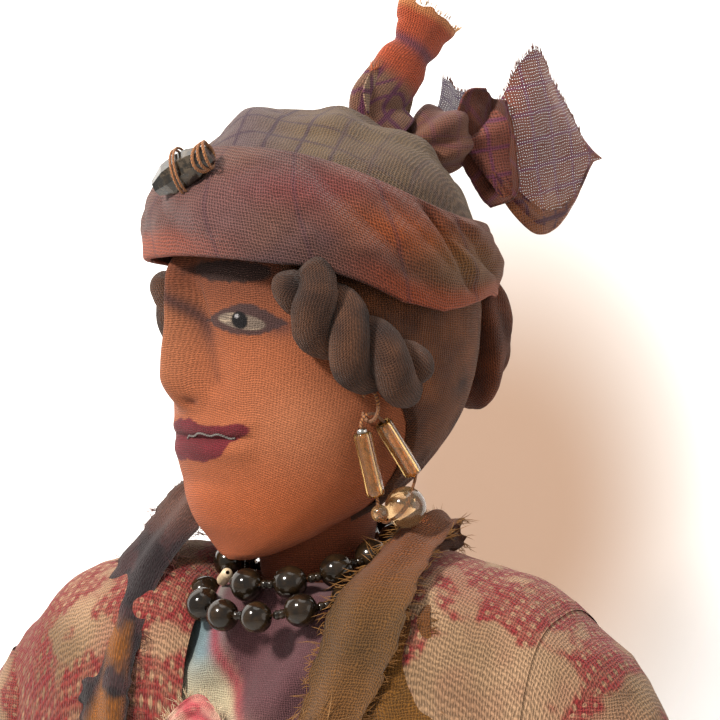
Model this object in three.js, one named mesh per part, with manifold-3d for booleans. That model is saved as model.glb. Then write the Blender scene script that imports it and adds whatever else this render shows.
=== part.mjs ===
// A cloth-headed rod puppet: a stitched head on a turned wooden rod, a carved torso that turns and
// slides on that rod, two strung arms with their own rods, and the head cloth, jewellery and clothes.
// Units are millimetres. +Z is up and the torso faces -Y. The origin is the centre of the flat foot of
// the central rod, by which the puppet is held. Head parts are drawn in the head's own frame, whose
// origin is the lowest point of the chin, over the rod's axis, and the head is turned on the rod.
import * as THREE from "three";
import { mergeVertices } from "three/addons/utils/BufferGeometryUtils.js";
import Module from "manifold-3d";

const wasm = await Module();
wasm.setup();

// ---- driving dimensions -------------------------------------------------------------------------
const CHIN_Z = 485; // the lowest point of the chin over the rod's foot
const HEAD_TURN = THREE.MathUtils.degToRad(-28); // the head looks to the puppet's right
const EARRING_TILT = THREE.MathUtils.degToRad(26); // how far the ear drops lie back from plumb
const CLEAR = 0.35; // air between two pieces that touch
const CLOTH = 1.0; // thickness of a single layer of cloth
const SAME_LENGTH = 1e-6;

const ROD_R = 5; // the central rod where the torso turns on it
const ROD_TOP_Z = CHIN_Z + 36;
const NECK_R = 10.4;
const PEG_R = 1.4;
const SOCKET_R = 11.4;
const SOCKET_FLOOR_Z = 453;
const NECK_FOOT_Z = SOCKET_FLOOR_Z + CLEAR;
const PEG_Z = 466;
const TORSO_FOOT_Z = 366;
const WASHER_H = 4;

const ARM_X = 62; // the arms' hanging line
const SHOULDER_Z = 464;
const ELBOW_Z = 366;
const WRIST_Z = 286;
const GRIP_TIE_Z = 244; // where the arm rod is tied to the hand
const ARM_ROD_FOOT_Z = 8;
const SHOULDER_LOOP_R = 5;
const ELBOW_LOOP_R = 4.4;
const WRIST_LOOP_R = 3.8;
const TIE_LOOP_R = 3.8;
const CORD_R = 0.8;

const HEM_Z = 130; // the skirt's hem
const BEAD_R = 3.2;
const THREAD_R = 0.4;

// ---- materials ----------------------------------------------------------------------------------
const paint = (color, roughness, metalness = 0) =>
  new THREE.MeshStandardMaterial({ color, roughness, metalness });
const MATERIAL = {
  wood: paint(0x8a6242, 0.6),
  cord: paint(0xb9a27c, 0.9),
  leather: paint(0x5d3b25, 0.7),
  skin: paint(0xb5683f, 0.8),
  hair: paint(0x5f4336, 0.95),
  wrap: paint(0x7a5850, 0.9),
  wrapEnd: paint(0xa0604a, 0.9),
  stone: paint(0x4a4336, 0.25),
  gold: paint(0x8f6a2c, 0.3, 0.4),
  glass: paint(0x8a6a48, 0.15),
  bead: paint(0x3a2c20, 0.2),
  print: paint(0xa8826a, 0.9),
  bodice: paint(0x5a4450, 0.9),
  scarf: paint(0x6a4a2a, 0.9),
  skirt: paint(0x6a2f2a, 0.9),
};

// ---- solids -------------------------------------------------------------------------------------
// A closed manifold solid from any closed three.js geometry.
function solid(geometry) {
  const bare = new THREE.BufferGeometry();
  const source = geometry.index ? geometry.toNonIndexed() : geometry;
  bare.setAttribute("position", source.getAttribute("position"));
  const merged = mergeVertices(bare, 1e-3);
  const vertProperties = merged.attributes.position.array;
  const triVerts = new Uint32Array(merged.index.array);
  if (signedVolume(vertProperties, triVerts) < 0) {
    for (let i = 0; i < triVerts.length; i += 3) {
      [triVerts[i + 1], triVerts[i + 2]] = [triVerts[i + 2], triVerts[i + 1]];
    }
  }
  return new wasm.Manifold(new wasm.Mesh({ numProp: 3, vertProperties, triVerts }));
}

function signedVolume(p, t) {
  let sum = 0;
  for (let i = 0; i < t.length; i += 3) {
    const [a, b, c] = [t[i] * 3, t[i + 1] * 3, t[i + 2] * 3];
    sum += p[a] * (p[b + 1] * p[c + 2] - p[b + 2] * p[c + 1]);
    sum += p[a + 1] * (p[b + 2] * p[c] - p[b] * p[c + 2]);
    sum += p[a + 2] * (p[b] * p[c + 1] - p[b + 1] * p[c]);
  }
  return sum / 6;
}

// The four-sided patches are split along their shorter diagonal, so that nested layers match.
// A closed surface through rings of equal point counts: capped at both ends, or joined end to end.
function loft(rings, joined = false) {
  const n = rings[0].length;
  const points = rings.flat();
  const index = [];
  const spans = joined ? rings.length : rings.length - 1;
  for (let i = 0; i < spans; i++) {
    for (let j = 0; j < n; j++) {
      const next = ((i + 1) % rings.length) * n;
      const [a, b] = [i * n + j, i * n + ((j + 1) % n)];
      const [c, d] = [next + j, next + ((j + 1) % n)];
      const slant = points[a].distanceTo(points[d]) - points[b].distanceTo(points[c]);
      if (slant <= SAME_LENGTH) index.push(a, b, d, a, d, c);
      else index.push(a, b, c, b, d, c);
    }
  }
  if (!joined) {
    for (const [start, flip] of [[0, true], [points.length - n, false]]) {
      const middle = new THREE.Vector3();
      for (let j = 0; j < n; j++) middle.addScaledVector(points[start + j], 1 / n);
      points.push(middle);
      for (let j = 0; j < n; j++) {
        const [a, b] = [start + j, start + ((j + 1) % n)];
        index.push(points.length - 1, flip ? b : a, flip ? a : b);
      }
    }
  }
  const geometry = new THREE.BufferGeometry().setFromPoints(points);
  geometry.setIndex(index);
  return solid(geometry);
}

// A tube of the given radius along a curve; radius may be a function of the share along it.
function tube(curve, radius, steps, sides) {
  const frames = curve.computeFrenetFrames(steps, false);
  const rings = [];
  for (let i = 0; i <= steps; i++) {
    const t = i / steps;
    const r = typeof radius === "function" ? radius(t) : radius;
    const at = curve.getPointAt(t);
    const [across, up] = [frames.normals[i], frames.binormals[i]];
    rings.push(circlePoints(sides, (c, s) =>
      at.clone().addScaledVector(across, r * c).addScaledVector(up, r * s)));
  }
  return loft(rings);
}

function circlePoints(sides, place) {
  const points = [];
  for (let j = 0; j < sides; j++) {
    const angle = (2 * Math.PI * j) / sides;
    points.push(place(Math.cos(angle), Math.sin(angle)));
  }
  return points;
}

const v = (x, y, z) => new THREE.Vector3(x, y, z);
const curveThrough = (points, closed = false) =>
  new THREE.CatmullRomCurve3(points.map((p) => v(...p)), closed, "centripetal");

// A turned piece about Z: profile is a list of [radius, z] that starts and ends on the axis.
function turned(profile, sides) {
  const points = profile.map(([r, z]) => new THREE.Vector2(r, z));
  return solid(new THREE.LatheGeometry(points, sides).rotateX(Math.PI / 2));
}

function cylinder(radius, from, to, sides) {
  const axis = to.clone().sub(from);
  const geometry = new THREE.CylinderGeometry(radius, radius, axis.length(), sides);
  geometry.translate(0, axis.length() / 2, 0);
  const turn = new THREE.Quaternion().setFromUnitVectors(v(0, 1, 0), axis.normalize());
  return solid(geometry.applyQuaternion(turn).translate(from.x, from.y, from.z));
}

// An ellipsoid with its own orientation; detail sets how round it is.
function ellipsoid(centre, radii, sides = 12, turn = new THREE.Quaternion()) {
  const geometry = new THREE.SphereGeometry(1, sides, Math.ceil(sides / 2) + 1);
  geometry.rotateX(Math.PI / 2).scale(...radii).applyQuaternion(turn);
  return solid(geometry.translate(centre.x, centre.y, centre.z));
}

// A ring of cord: its circle lies in the plane of the two given unit vectors.
function cordLoop(centre, radius, along, across, cord = CORD_R, steps = 10) {
  const rings = [];
  const normal = along.clone().cross(across);
  for (let i = 0; i < steps; i++) {
    const angle = (2 * Math.PI * i) / steps;
    const out = along.clone().multiplyScalar(Math.cos(angle));
    out.addScaledVector(across, Math.sin(angle));
    rings.push(circlePoints(4, (c, s) =>
      centre.clone().addScaledVector(out, radius + cord * c).addScaledVector(normal, cord * s)));
  }
  return loft(rings, true);
}

// A flat band: each station gives its centre, half width, width direction and half thickness.
function band(stations) {
  const rings = stations.map((s, i) => {
    const before = stations[Math.max(i - 1, 0)].at;
    const after = stations[Math.min(i + 1, stations.length - 1)].at;
    const tangent = after.clone().sub(before).normalize();
    const wide = s.wide.clone().addScaledVector(tangent, -s.wide.dot(tangent)).normalize();
    const normal = tangent.clone().cross(wide);
    const corner = (a, b) =>
      s.at.clone().addScaledVector(wide, a * s.half).addScaledVector(normal, b * s.thick);
    return [corner(1, 0), corner(0.5, 1), corner(-0.5, 1), corner(-1, 0), corner(-0.5, -1), corner(0.5, -1)];
  });
  return loft(rings);
}

// Straight lines between the rows of a table whose first column is the height.
function table(rows) {
  return (z) => {
    const last = rows.length - 1;
    if (z <= rows[0][0]) return rows[0].slice(1);
    if (z >= rows[last][0]) return rows[last].slice(1);
    const i = rows.findIndex((row, k) => k < last && z >= row[0] && z <= rows[k + 1][0]);
    const t = (z - rows[i][0]) / (rows[i + 1][0] - rows[i][0]);
    return rows[i].slice(1).map((value, k) => value + t * (rows[i + 1][k + 1] - value));
  };
}

// ---- head ---------------------------------------------------------------------------------------
// Height over the chin, then the front, the back and the half width of the head there.
const HEAD_ROWS = [
  [0, -19.5, -15.5, 3], [2, -20.9, -10, 9.5], [6, -23.6, 0, 15.2], [12, -26.3, 11, 19.6], [20, -28.2, 21.5, 22.8],
  [28, -28.8, 28, 24.6], [32, -29, 30, 25], [36, -29.2, 31.4, 25.3], [46, -29.4, 33, 25.6],
  [56, -29.2, 32.4, 25.2], [66, -26, 29.5, 23], [76, -18, 22, 17.5], [83, -8, 12, 10], [85.5, -3, 6, 4],
];
const HEAD = table(HEAD_ROWS);
const HEAD_LEVELS = HEAD_ROWS.map((row) => row[0]);
const HEAD_SIDES = 20;
const NOSE = table([[28, 0], [32, 4.6], [36, 6.5], [46, 5.6], [56, 3.4], [66, 0]]);

const NOSE_SPREAD = 5.5;

function headRing(z, grow) {
  const [front, back, half] = HEAD(z);
  const middle = 0.45 * front + 0.55 * back;
  const nose = NOSE(z)[0];
  return circlePoints(HEAD_SIDES, (c, s) => {
    const x = (half + grow) * s;
    const reach = c > 0 ? middle - front + grow : back - middle + grow;
    const lift = c > 0 ? nose * Math.exp(-((x / NOSE_SPREAD) ** 2)) : 0;
    return v(x, middle - c * reach - lift, z);
  });
}

// The whole head, grown or shrunk by a distance, as a solid.
function headForm(grow) {
  const rings = HEAD_LEVELS.map((z) => headRing(z, grow));
  rings[0].forEach((p) => (p.z -= grow));
  rings.at(-1).forEach((p) => (p.z += grow));
  return loft(rings);
}

const neckForm = (radius, foot) =>
  cylinder(radius, v(0, 0, foot - CHIN_Z), v(0, 0, 14), 20);

// Everything behind a plane that leans back from the temples to the nape.
function behindHairline() {
  const box = new THREE.BoxGeometry(120, 120, 160).translate(0, 60, 0);
  box.rotateX(Math.atan2(31, 42));
  return solid(box.translate(0, -20, 57));
}

const RIM_LEVEL = 53;
const BAND_TOP_LEVEL = 68;
const BAND_T = 1.2;
// The head cloth's outer form: level, front, back, half width. Its rim drops towards the nape.
const WRAP_ROWS = [
  [RIM_LEVEL, -34.9, 38.4, 30.9], [60, -34.9, 38.2, 31.2], [BAND_TOP_LEVEL, -33, 36.5, 30.2],
  [75, -27, 33.5, 26.5], [83, -19, 28, 19], [87.5, -12, 20, 12],
];
const WRAP = table(WRAP_ROWS);
const WRAP_LEVELS = WRAP_ROWS.map((row) => row[0]);
const RIM_DROP = 0.11;

function wrapRing(level, grow) {
  const [front, back, half] = WRAP(level);
  const middle = (front + back) / 2;
  const reach = (back - front) / 2 + grow;
  return circlePoints(HEAD_SIDES, (c, s) => {
    const y = middle - c * reach;
    return v((half + grow) * s, y, level - RIM_DROP * y);
  });
}

function wrapForm(grow, lowest = RIM_LEVEL) {
  const levels = [lowest, ...WRAP_LEVELS.filter((z) => z > lowest)];
  const rings = levels.map((z) => wrapRing(z, grow));
  rings.at(-1).forEach((p) => (p.z += grow));
  return loft(rings);
}

// Two twisted plies of stuffed cord hang from each temple to behind the ear.
const HAIR_T = 1.5;
const PLY_R = 3.1;
const TWIST_R = 3.5;
const TWIST_TURNS = 1.35;
function hairPly(side, phase) {
  const spine = curveThrough([
    [22.5 * side, -22.5, 55.5], [28 * side, -15.5, 52], [32 * side, -6.5, 46.5],
    [34 * side, 1, 39.5], [33 * side, 5, 31.5],
  ]);
  const steps = 11;
  const frames = spine.computeFrenetFrames(steps, false);
  const points = [];
  for (let i = 0; i <= steps; i++) {
    const angle = phase + side * 2 * Math.PI * TWIST_TURNS * (i / steps);
    const at = spine.getPointAt(i / steps);
    at.addScaledVector(frames.normals[i], TWIST_R * Math.cos(angle));
    points.push(at.addScaledVector(frames.binormals[i], TWIST_R * Math.sin(angle)));
  }
  const taper = (t) => PLY_R * Math.min(1, 0.45 + 5 * t, 0.45 + 5 * (1 - t));
  const ply = tube(new THREE.CatmullRomCurve3(points), taper, steps, 6);
  return ply.subtract(headForm(HAIR_T + 2 * CLEAR)).subtract(wrapForm(CLEAR, RIM_LEVEL - CLEAR));
}

// The ends of the head cloth beyond its knot.
const KNOT = v(0, 29, 84.5);
const rolledEnd = () =>
  band([
    { at: v(0, 24, 88), half: 5, wide: v(0.3, 1, 0), thick: 2.4 },
    { at: v(0.5, 19, 93.5), half: 5.5, wide: v(0.3, 1, 0.3), thick: 2.6 },
    { at: v(1.5, 20.5, 100), half: 6, wide: v(0.3, 1, -0.2), thick: 2 },
    { at: v(2, 25, 108), half: 6.5, wide: v(0.3, 1, -0.5), thick: 1.2 },
  ]);
const fanEnd = () =>
  band([
    { at: v(0.5, 33, 84.5), half: 4, wide: v(0, 0.2, 1), thick: 1.4 },
    { at: v(2, 42, 83), half: 11, wide: v(0.1, 0.1, 1), thick: 1.2 },
    { at: v(1, 51, 82.5), half: 17, wide: v(-0.15, 0, 1), thick: 0.9 },
    { at: v(-3, 59, 82), half: 15, wide: v(-0.25, 0.1, 1), thick: 0.7 },
    { at: v(-6, 66, 81), half: 6, wide: v(-0.25, 0.2, 1), thick: 0.6 },
  ]);
const shortEnd = () =>
  band([
    { at: v(-5, 32, 88), half: 4, wide: v(0.4, 1, -0.5), thick: 1.2 },
    { at: v(-9, 36, 92), half: 5.5, wide: v(0.4, 1, -0.4), thick: 0.9 },
    { at: v(-11.5, 39, 97), half: 5, wide: v(0.4, 1, -0.3), thick: 0.7 },
  ]);

// The stone lies on the front of the head cloth, held by a loop of thread about its waist.
const STONE = { at: v(4.4, -33.3, 75.4), along: v(0.72, 0.49, 0.49), r: 3.3, flatness: 1.15, body: 8.5, end: 3 };
function foreheadStone() {
  const { at, along, r, flatness, body, end } = STONE;
  const prism = (top, foot, height, up) =>
    solid(new THREE.CylinderGeometry(top, foot, height, 6, 1).scale(flatness, 1, 1).translate(0, up, 0));
  const shift = (body + end) / 2 - CLEAR / 10;
  const made = prism(r, r, body, 0).add(prism(0.55 * r, r, end, shift)).add(prism(r, 0.55 * r, end, -shift));
  const lean = new THREE.Quaternion().setFromUnitVectors(v(0, 1, 0), along.clone().normalize());
  const turned = new THREE.Matrix4().compose(at, lean, v(1, 1, 1));
  const across = v(1, 0, 0).applyQuaternion(lean);
  const over = v(0, 0, 1).applyQuaternion(lean);
  const loop = cordLoop(at, r * flatness + 2 * THREAD_R, across, over, THREAD_R, 14);
  return { stone: made.transform(turned.elements), loop };
}

// One ear drop hangs from a stitch: thread through two tube beads, with two round beads at the foot.
// Its own frame has the foot of the stitch at the origin, -Z down and +Y towards the back of the head.
const EAR = v(26.9, -4, 27.7);
const EAR_LOOP_R = 3;
const DROP = {
  top: v(0, 0, 1.5), frontTop: v(0, -2.4, -0.6), frontFoot: v(0, -5.1, -14.4), small: v(0, -5.7, -16.9),
  corner: v(0, -6, -19), round: v(0, 0, -18.6), backFoot: v(0, 4.6, -14.6), backTop: v(0, 2.4, -1),
};
const DROP_TUBE_R = 1.7;
const DROP_HOLE_R = 0.75;
function earDrop() {
  const { top, frontTop, frontFoot, small, corner, round, backFoot, backTop } = DROP;
  const path = [top, frontTop, frontFoot, small, corner, round, backFoot, backTop];
  const rings = path.map((at, i) => {
    const before = path[Math.max(i - 1, 0)];
    const tangent = path[Math.min(i + 1, path.length - 1)].clone().sub(before).normalize();
    const up = v(0, -tangent.z, tangent.y);
    return circlePoints(5, (c, s) => v(THREAD_R * c, 0, 0).add(at).addScaledVector(up, THREAD_R * s));
  });
  const bore = (from, to, reach) => {
    const beyond = to.clone().sub(from).setLength(reach);
    return cylinder(DROP_HOLE_R, from.clone().sub(beyond), to.clone().add(beyond), 8);
  };
  const tubeBead = (from, to) => {
    const [a, b] = [from.clone().lerp(to, 0.04), from.clone().lerp(to, 0.93)];
    return cylinder(DROP_TUBE_R, a, b, 8).subtract(bore(a, b, 3));
  };
  const ball = (at, r, sides) => ellipsoid(at, [r, r, r], sides);
  return {
    thread: loft(rings),
    tube_front: tubeBead(frontTop, frontFoot),
    tube_back: tubeBead(backTop, backFoot),
    small_bead: ball(small, 1.7, 8).subtract(bore(frontFoot, corner, 1)),
    round_bead: ball(round, 4, 10).subtract(bore(corner, round, 0)).subtract(bore(round, backFoot, 0.6)),
  };
}

// ---- torso and clothes --------------------------------------------------------------------------
// Height, half width and half depth of the carved torso, and below it of the body the clothes hang on.
const TORSO_ROWS = [
  [TORSO_FOOT_Z, 27, 17.5], [386, 25.5, 16.5], [412, 33, 18.8], [438, 41.5, 20], [455, 46, 18.5],
  [464, 46.5, 17], [469, 38, 16.2], [473, 27, 15.4], [475.5, 17, 14.5],
];
const TORSO = table(TORSO_ROWS);
const TORSO_LEVELS = TORSO_ROWS.map((row) => row[0]);
const BODY_SIDES = 20;

function bodyRing(z, grow) {
  const [half, deep] = TORSO(z);
  return circlePoints(BODY_SIDES, (c, s) => v((half + grow) * s, -(deep + grow) * c, z));
}

// A layer of cloth over the torso, between two distances from it and two heights.
function bodyLayer(low, high, inner, outer) {
  const levels = [low, ...TORSO_LEVELS.filter((z) => z > low && z < high), high];
  const up = levels.map((z) => bodyRing(z, outer));
  const down = levels.map((z) => bodyRing(z, inner)).reverse();
  return loft([...up, ...down], true);
}

const LUG = { x0: 40, x1: 59.4, hole: ARM_X - SHOULDER_LOOP_R };
function torsoBlock() {
  let block = loft(TORSO_LEVELS.map((z) => bodyRing(z, 0)));
  for (const side of [-1, 1]) {
    const lug = ellipsoid(v(50 * side, 0, SHOULDER_Z), [LUG.x1 - 50, 3, 4.2], 10);
    const root = cylinder(3, v(LUG.x0 * side, 0, SHOULDER_Z), v(52 * side, 0, SHOULDER_Z), 10);
    const at = LUG.hole * side;
    const hole = cylinder(1.6, v(at, 0, SHOULDER_Z - 9), v(at, 0, SHOULDER_Z + 9), 8);
    block = block.add(lug).add(root).subtract(hole);
  }
  const bore = cylinder(ROD_R + 0.8, v(0, 0, TORSO_FOOT_Z - 5), v(0, 0, CHIN_Z), 16);
  const socket = cylinder(SOCKET_R, v(0, 0, SOCKET_FLOOR_Z), v(0, 0, CHIN_Z), 20);
  return block.subtract(bore).subtract(socket);
}

// The jacket's open front, from the neck down to its hem.
function frontOpening() {
  const corners = [[-21, 492], [21, 492], [2, 398], [2, 330], [-2, 330], [-2, 398]];
  const shape = new THREE.Shape(corners.map(([x, z]) => new THREE.Vector2(x, z)));
  const wedge = new THREE.ExtrudeGeometry(shape, { depth: 60, bevelEnabled: false });
  return solid(wedge.rotateX(Math.PI / 2));
}

// Height, half width and half depth of the skirt's outside, from its hem to the hips.
const SKIRT_ROWS = [[HEM_Z, 54, 44], [210, 50.5, 39.5], [285, 46, 33.5], [335, 40.5, 28], [352, 37, 25]];
const SKIRT = table(SKIRT_ROWS);
const SKIRT_LEVELS = SKIRT_ROWS.map((row) => row[0]);
const SKIRT_T = 2;
const WAIST_TOP_Z = 386;
const SASH_T = 1.6;
function skirtRing(z, grow) {
  const [half, deep] = SKIRT(z);
  return circlePoints(BODY_SIDES, (c, s) => v((half + grow) * s, -(deep + grow) * c, z));
}

// A layer over the skirt's upper part and the torso, between two distances from them.
function hipLayer(levels, high, inner, outer) {
  const above = [372, ...TORSO_LEVELS.filter((z) => z > 372 && z < high), high];
  const wall = (skirtGrow, bodyGrow) =>
    [...levels.map((z) => skirtRing(z, skirtGrow)), ...above.map((z) => bodyRing(z, bodyGrow))];
  return loft([...wall(...outer), ...wall(...inner).reverse()], true);
}
const skirt = () => hipLayer(SKIRT_LEVELS, WAIST_TOP_Z, [-SKIRT_T, CLEAR], [0, CLEAR + CLOTH]);

const JACKET_IN = 2 * CLEAR + CLOTH;
const JACKET_OUT = JACKET_IN + 1.3;
const JACKET_HEM_Z = 342;
function armholesOut(shell, radius) {
  const through = (side) => cylinder(radius, v(36 * side, 0, SHOULDER_Z), v(70 * side, 0, SHOULDER_Z), 12);
  return shell.subtract(through(1)).subtract(through(-1));
}
function jacket() {
  const shell = hipLayer([JACKET_HEM_Z, 352], 474, [CLEAR, JACKET_IN], [CLEAR + 1.3, JACKET_OUT]);
  return armholesOut(shell, 7).subtract(frontOpening());
}
const bodice = () => armholesOut(bodyLayer(WAIST_TOP_Z + CLEAR, 475.5, CLEAR, CLEAR + CLOTH), 6);

// The shawl lies round the back of the neck and hangs down both sides of the jacket's opening. Each
// station on its left half gives the band's centre, its half width and how far that stands upright.
const SHAWL = [
  [19.5, -23.6, 398, 7, 0], [22, -25.2, 414, 8, 0], [24, -25.6, 438, 8.5, 0], [26, -23.6, 456, 8.5, 0.1],
  [28, -20.5, 467, 7.5, 0.3], [29.5, -13, 475.5, 6, 0.7], [28.5, -3, 480, 5, 1], [25.5, 9, 483, 5, 1],
  [16, 18, 485.8, 5.2, 1], [0, 21.5, 487, 5.2, 1],
];
const SHAWL_T = 0.8;
function shawl() {
  const mirrored = SHAWL.slice(0, -1).reverse().map(([x, ...rest]) => [-x, ...rest]);
  const rows = [...SHAWL, ...mirrored];
  const at = rows.map(([x, y, z]) => v(x, y, z));
  const rings = rows.map(([x, y, , half, stand], i) => {
    const ahead = at[Math.min(i + 1, at.length - 1)];
    const tangent = ahead.clone().sub(at[Math.max(i - 1, 0)]).normalize();
    const wanted = v(-Math.sign(x) * (1 - stand), 0, stand).addScaledVector(v(x, y, 0).normalize(), -0.3 * stand);
    const wide = wanted.addScaledVector(tangent, -wanted.dot(tangent)).normalize();
    const normal = tangent.clone().cross(wide);
    const corner = (a, b) => at[i].clone().addScaledVector(wide, a * half).addScaledVector(normal, b * SHAWL_T);
    return [corner(1, 0), corner(0.5, 1), corner(-0.5, 1), corner(-1, 0), corner(-0.5, -1), corner(0.5, -1)];
  });
  const around = bodyLayer(JACKET_HEM_Z, 474, -12, JACKET_OUT + CLEAR);
  return loft(rings).subtract(around);
}

// A strand of beads as one chain: the radius swells at each bead. reach and drop shape its loop.
function strand(count, place) {
  const curve = new THREE.CatmullRomCurve3(
    circlePoints(32, (c, s) => place(c, s)), true, "centripetal");
  const swell = [0.32, 0.95, 0.95];
  const steps = count * swell.length;
  const rings = [];
  for (let i = 0; i < steps; i++) {
    const at = curve.getPointAt(i / steps);
    const tangent = curve.getTangentAt(i / steps);
    const across = v(0, 0, 1).cross(tangent).normalize();
    const up = tangent.clone().cross(across);
    const r = BEAD_R * swell[i % swell.length];
    rings.push(circlePoints(5, (c, s) =>
      at.clone().addScaledVector(across, r * c).addScaledVector(up, r * s)));
  }
  return loft(rings, true);
}

// The strands dip below the chin, towards the angle lean, and rise by at most rise behind the jaw.
const dip = (low, amount, lean, rise) => (c, s) =>
  low + Math.min(amount * (1 - c * Math.cos(lean) - s * Math.sin(lean)), rise);
const UPPER_DIP = dip(480.6, 5.6, THREE.MathUtils.degToRad(-12), 10.4);
const LOWER_DIP = dip(474.9, 6.5, THREE.MathUtils.degToRad(-10), 6.3);
const upperStrand = () => strand(12, (c, s) => v(16.6 * s, c > 0 ? -20 * c : -16 * c, UPPER_DIP(c, s)));
const lowerStrand = () => strand(16, (c, s) => v(21.4 * s, c > 0 ? -25 * c : -15.5 * c, LOWER_DIP(c, s)));

// ---- arms ---------------------------------------------------------------------------------------
// A limb along Z through sections [z, half width, half depth] at the arm's line.
function limb(x, sections, sides = 8) {
  return loft(sections.map(([z, half, deep]) =>
    circlePoints(sides, (c, s) => v(x + half * s, -deep * c, z))));
}

const holeAlongY = (x, z, r = 1.7) => cylinder(r, v(x, -12, z), v(x, 12, z), 8);
const holeAlongX = (x, z, r = 1.7) => cylinder(r, v(x - 12, 0, z), v(x + 12, 0, z), 8);

function upperArm(x) {
  const eye = SHOULDER_Z - SHOULDER_LOOP_R;
  const foot = ELBOW_Z + ELBOW_LOOP_R;
  return limb(x, [
    [foot - 2.9, 2.6, 1.2], [foot - 1.5, 3.6, 2], [foot + 2, 4.4, 3.6], [foot + 10, 5.2, 5.2],
    [foot + 36, 6, 6], [eye - 24, 6, 6.4], [eye - 12, 4.6, 5.4], [eye - 6, 2.4, 3.8],
    [eye, 2, 3.2], [eye + 2.9, 1.4, 2],
  ]).subtract(holeAlongX(x, eye)).subtract(holeAlongY(x, foot));
}

function forearm(x) {
  const eye = ELBOW_Z - ELBOW_LOOP_R;
  const foot = WRIST_Z + WRIST_LOOP_R;
  return limb(x, [
    [foot - 2.9, 2.4, 1.1], [foot - 1.2, 3.2, 1.9], [foot + 2, 3.6, 3], [foot + 10, 3.9, 4.1],
    [foot + 34, 5, 5.2], [eye - 14, 5.4, 5.4], [eye - 6, 4.6, 4.6], [eye, 4, 3],
    [eye + 1.5, 3.4, 2.1], [eye + 2.9, 2.6, 1.1],
  ]).subtract(holeAlongY(x, eye)).subtract(holeAlongY(x, foot));
}

// A half-closed hand: palm, four curled fingers and a thumb towards the front.
function hand(x, side) {
  const eye = WRIST_Z - WRIST_LOOP_R;
  const foot = GRIP_TIE_Z + TIE_LOOP_R;
  let made = limb(x, [
    [foot - 2.9, 2.4, 1.1], [foot - 1, 3.2, 2], [foot + 3, 3.6, 3.2], [foot + 8, 5, 5.2],
    [foot + 17, 5.6, 7.4], [eye - 12, 4.8, 6.6], [eye - 6, 3.8, 4.2], [eye, 3.2, 2.4], [eye + 2.9, 2.4, 1.1],
  ]);
  for (let i = 0; i < 4; i++) {
    const y = -4.8 + 3.2 * i;
    const curl = curveThrough([
      [x, y, foot + 15], [x - 2.5 * side, y, foot + 6], [x - 6 * side, y * 0.9, foot + 7.5],
    ]);
    made = made.add(tube(curl, (t) => 1.75 - 0.5 * t, 2, 4));
  }
  const thumb = curveThrough([[x, -5, eye - 14], [x - 1.5 * side, -9.2, foot + 13], [x - 3.5 * side, -8, foot + 7]]);
  made = made.add(tube(thumb, (t) => 2.1 - 0.6 * t, 2, 4));
  return made.subtract(holeAlongY(x, eye)).subtract(holeAlongY(x, foot));
}

function armRod(x) {
  const eye = GRIP_TIE_Z - TIE_LOOP_R;
  return limb(x, [
    [ARM_ROD_FOOT_Z, 3.2, 3.2], [ARM_ROD_FOOT_Z + 4, 4.2, 4.2], [ARM_ROD_FOOT_Z + 26, 3.6, 3.6],
    [ARM_ROD_FOOT_Z + 34, 2.2, 2.2], [eye - 16, 1.9, 1.9], [eye - 5, 3, 2.4], [eye, 3.2, 2.2],
    [eye + 2.9, 2.4, 1.1],
  ], 8).subtract(holeAlongY(x, eye));
}

// A sleeve's shell: sections [z, half width, half depth], with the cloth's thickness inside them.
function sleeve(x, sections) {
  const ring = ([z, half, deep], grow) =>
    circlePoints(12, (c, s) => v(x + (half + grow) * s, -(deep + grow) * c, z));
  const up = sections.map((s) => ring(s, 0));
  const down = sections.map((s) => ring(s, -1.8)).reverse();
  return loft([...up, ...down], true);
}

// ---- assembly -----------------------------------------------------------------------------------
const puppet = new THREE.Group();
const head = new THREE.Group();
head.position.z = CHIN_Z;
head.rotation.z = HEAD_TURN;
puppet.add(head);

function place(name, made, material, parent = puppet) {
  const { vertProperties, triVerts, numProp } = made.getMesh();
  const points = new Float32Array((vertProperties.length / numProp) * 3);
  for (let i = 0; i < points.length / 3; i++) {
    points.set(vertProperties.subarray(i * numProp, i * numProp + 3), i * 3);
  }
  const geometry = new THREE.BufferGeometry();
  geometry.setAttribute("position", new THREE.BufferAttribute(points, 3));
  geometry.setIndex(new THREE.BufferAttribute(new Uint32Array(triVerts), 1));
  const mesh = new THREE.Mesh(geometry, material);
  mesh.name = name;
  parent.add(mesh);
  return mesh;
}

const crosswise = (radius, length, z, sides = 8) =>
  cylinder(radius, v(-length / 2, 0, z), v(length / 2, 0, z), sides);

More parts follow.
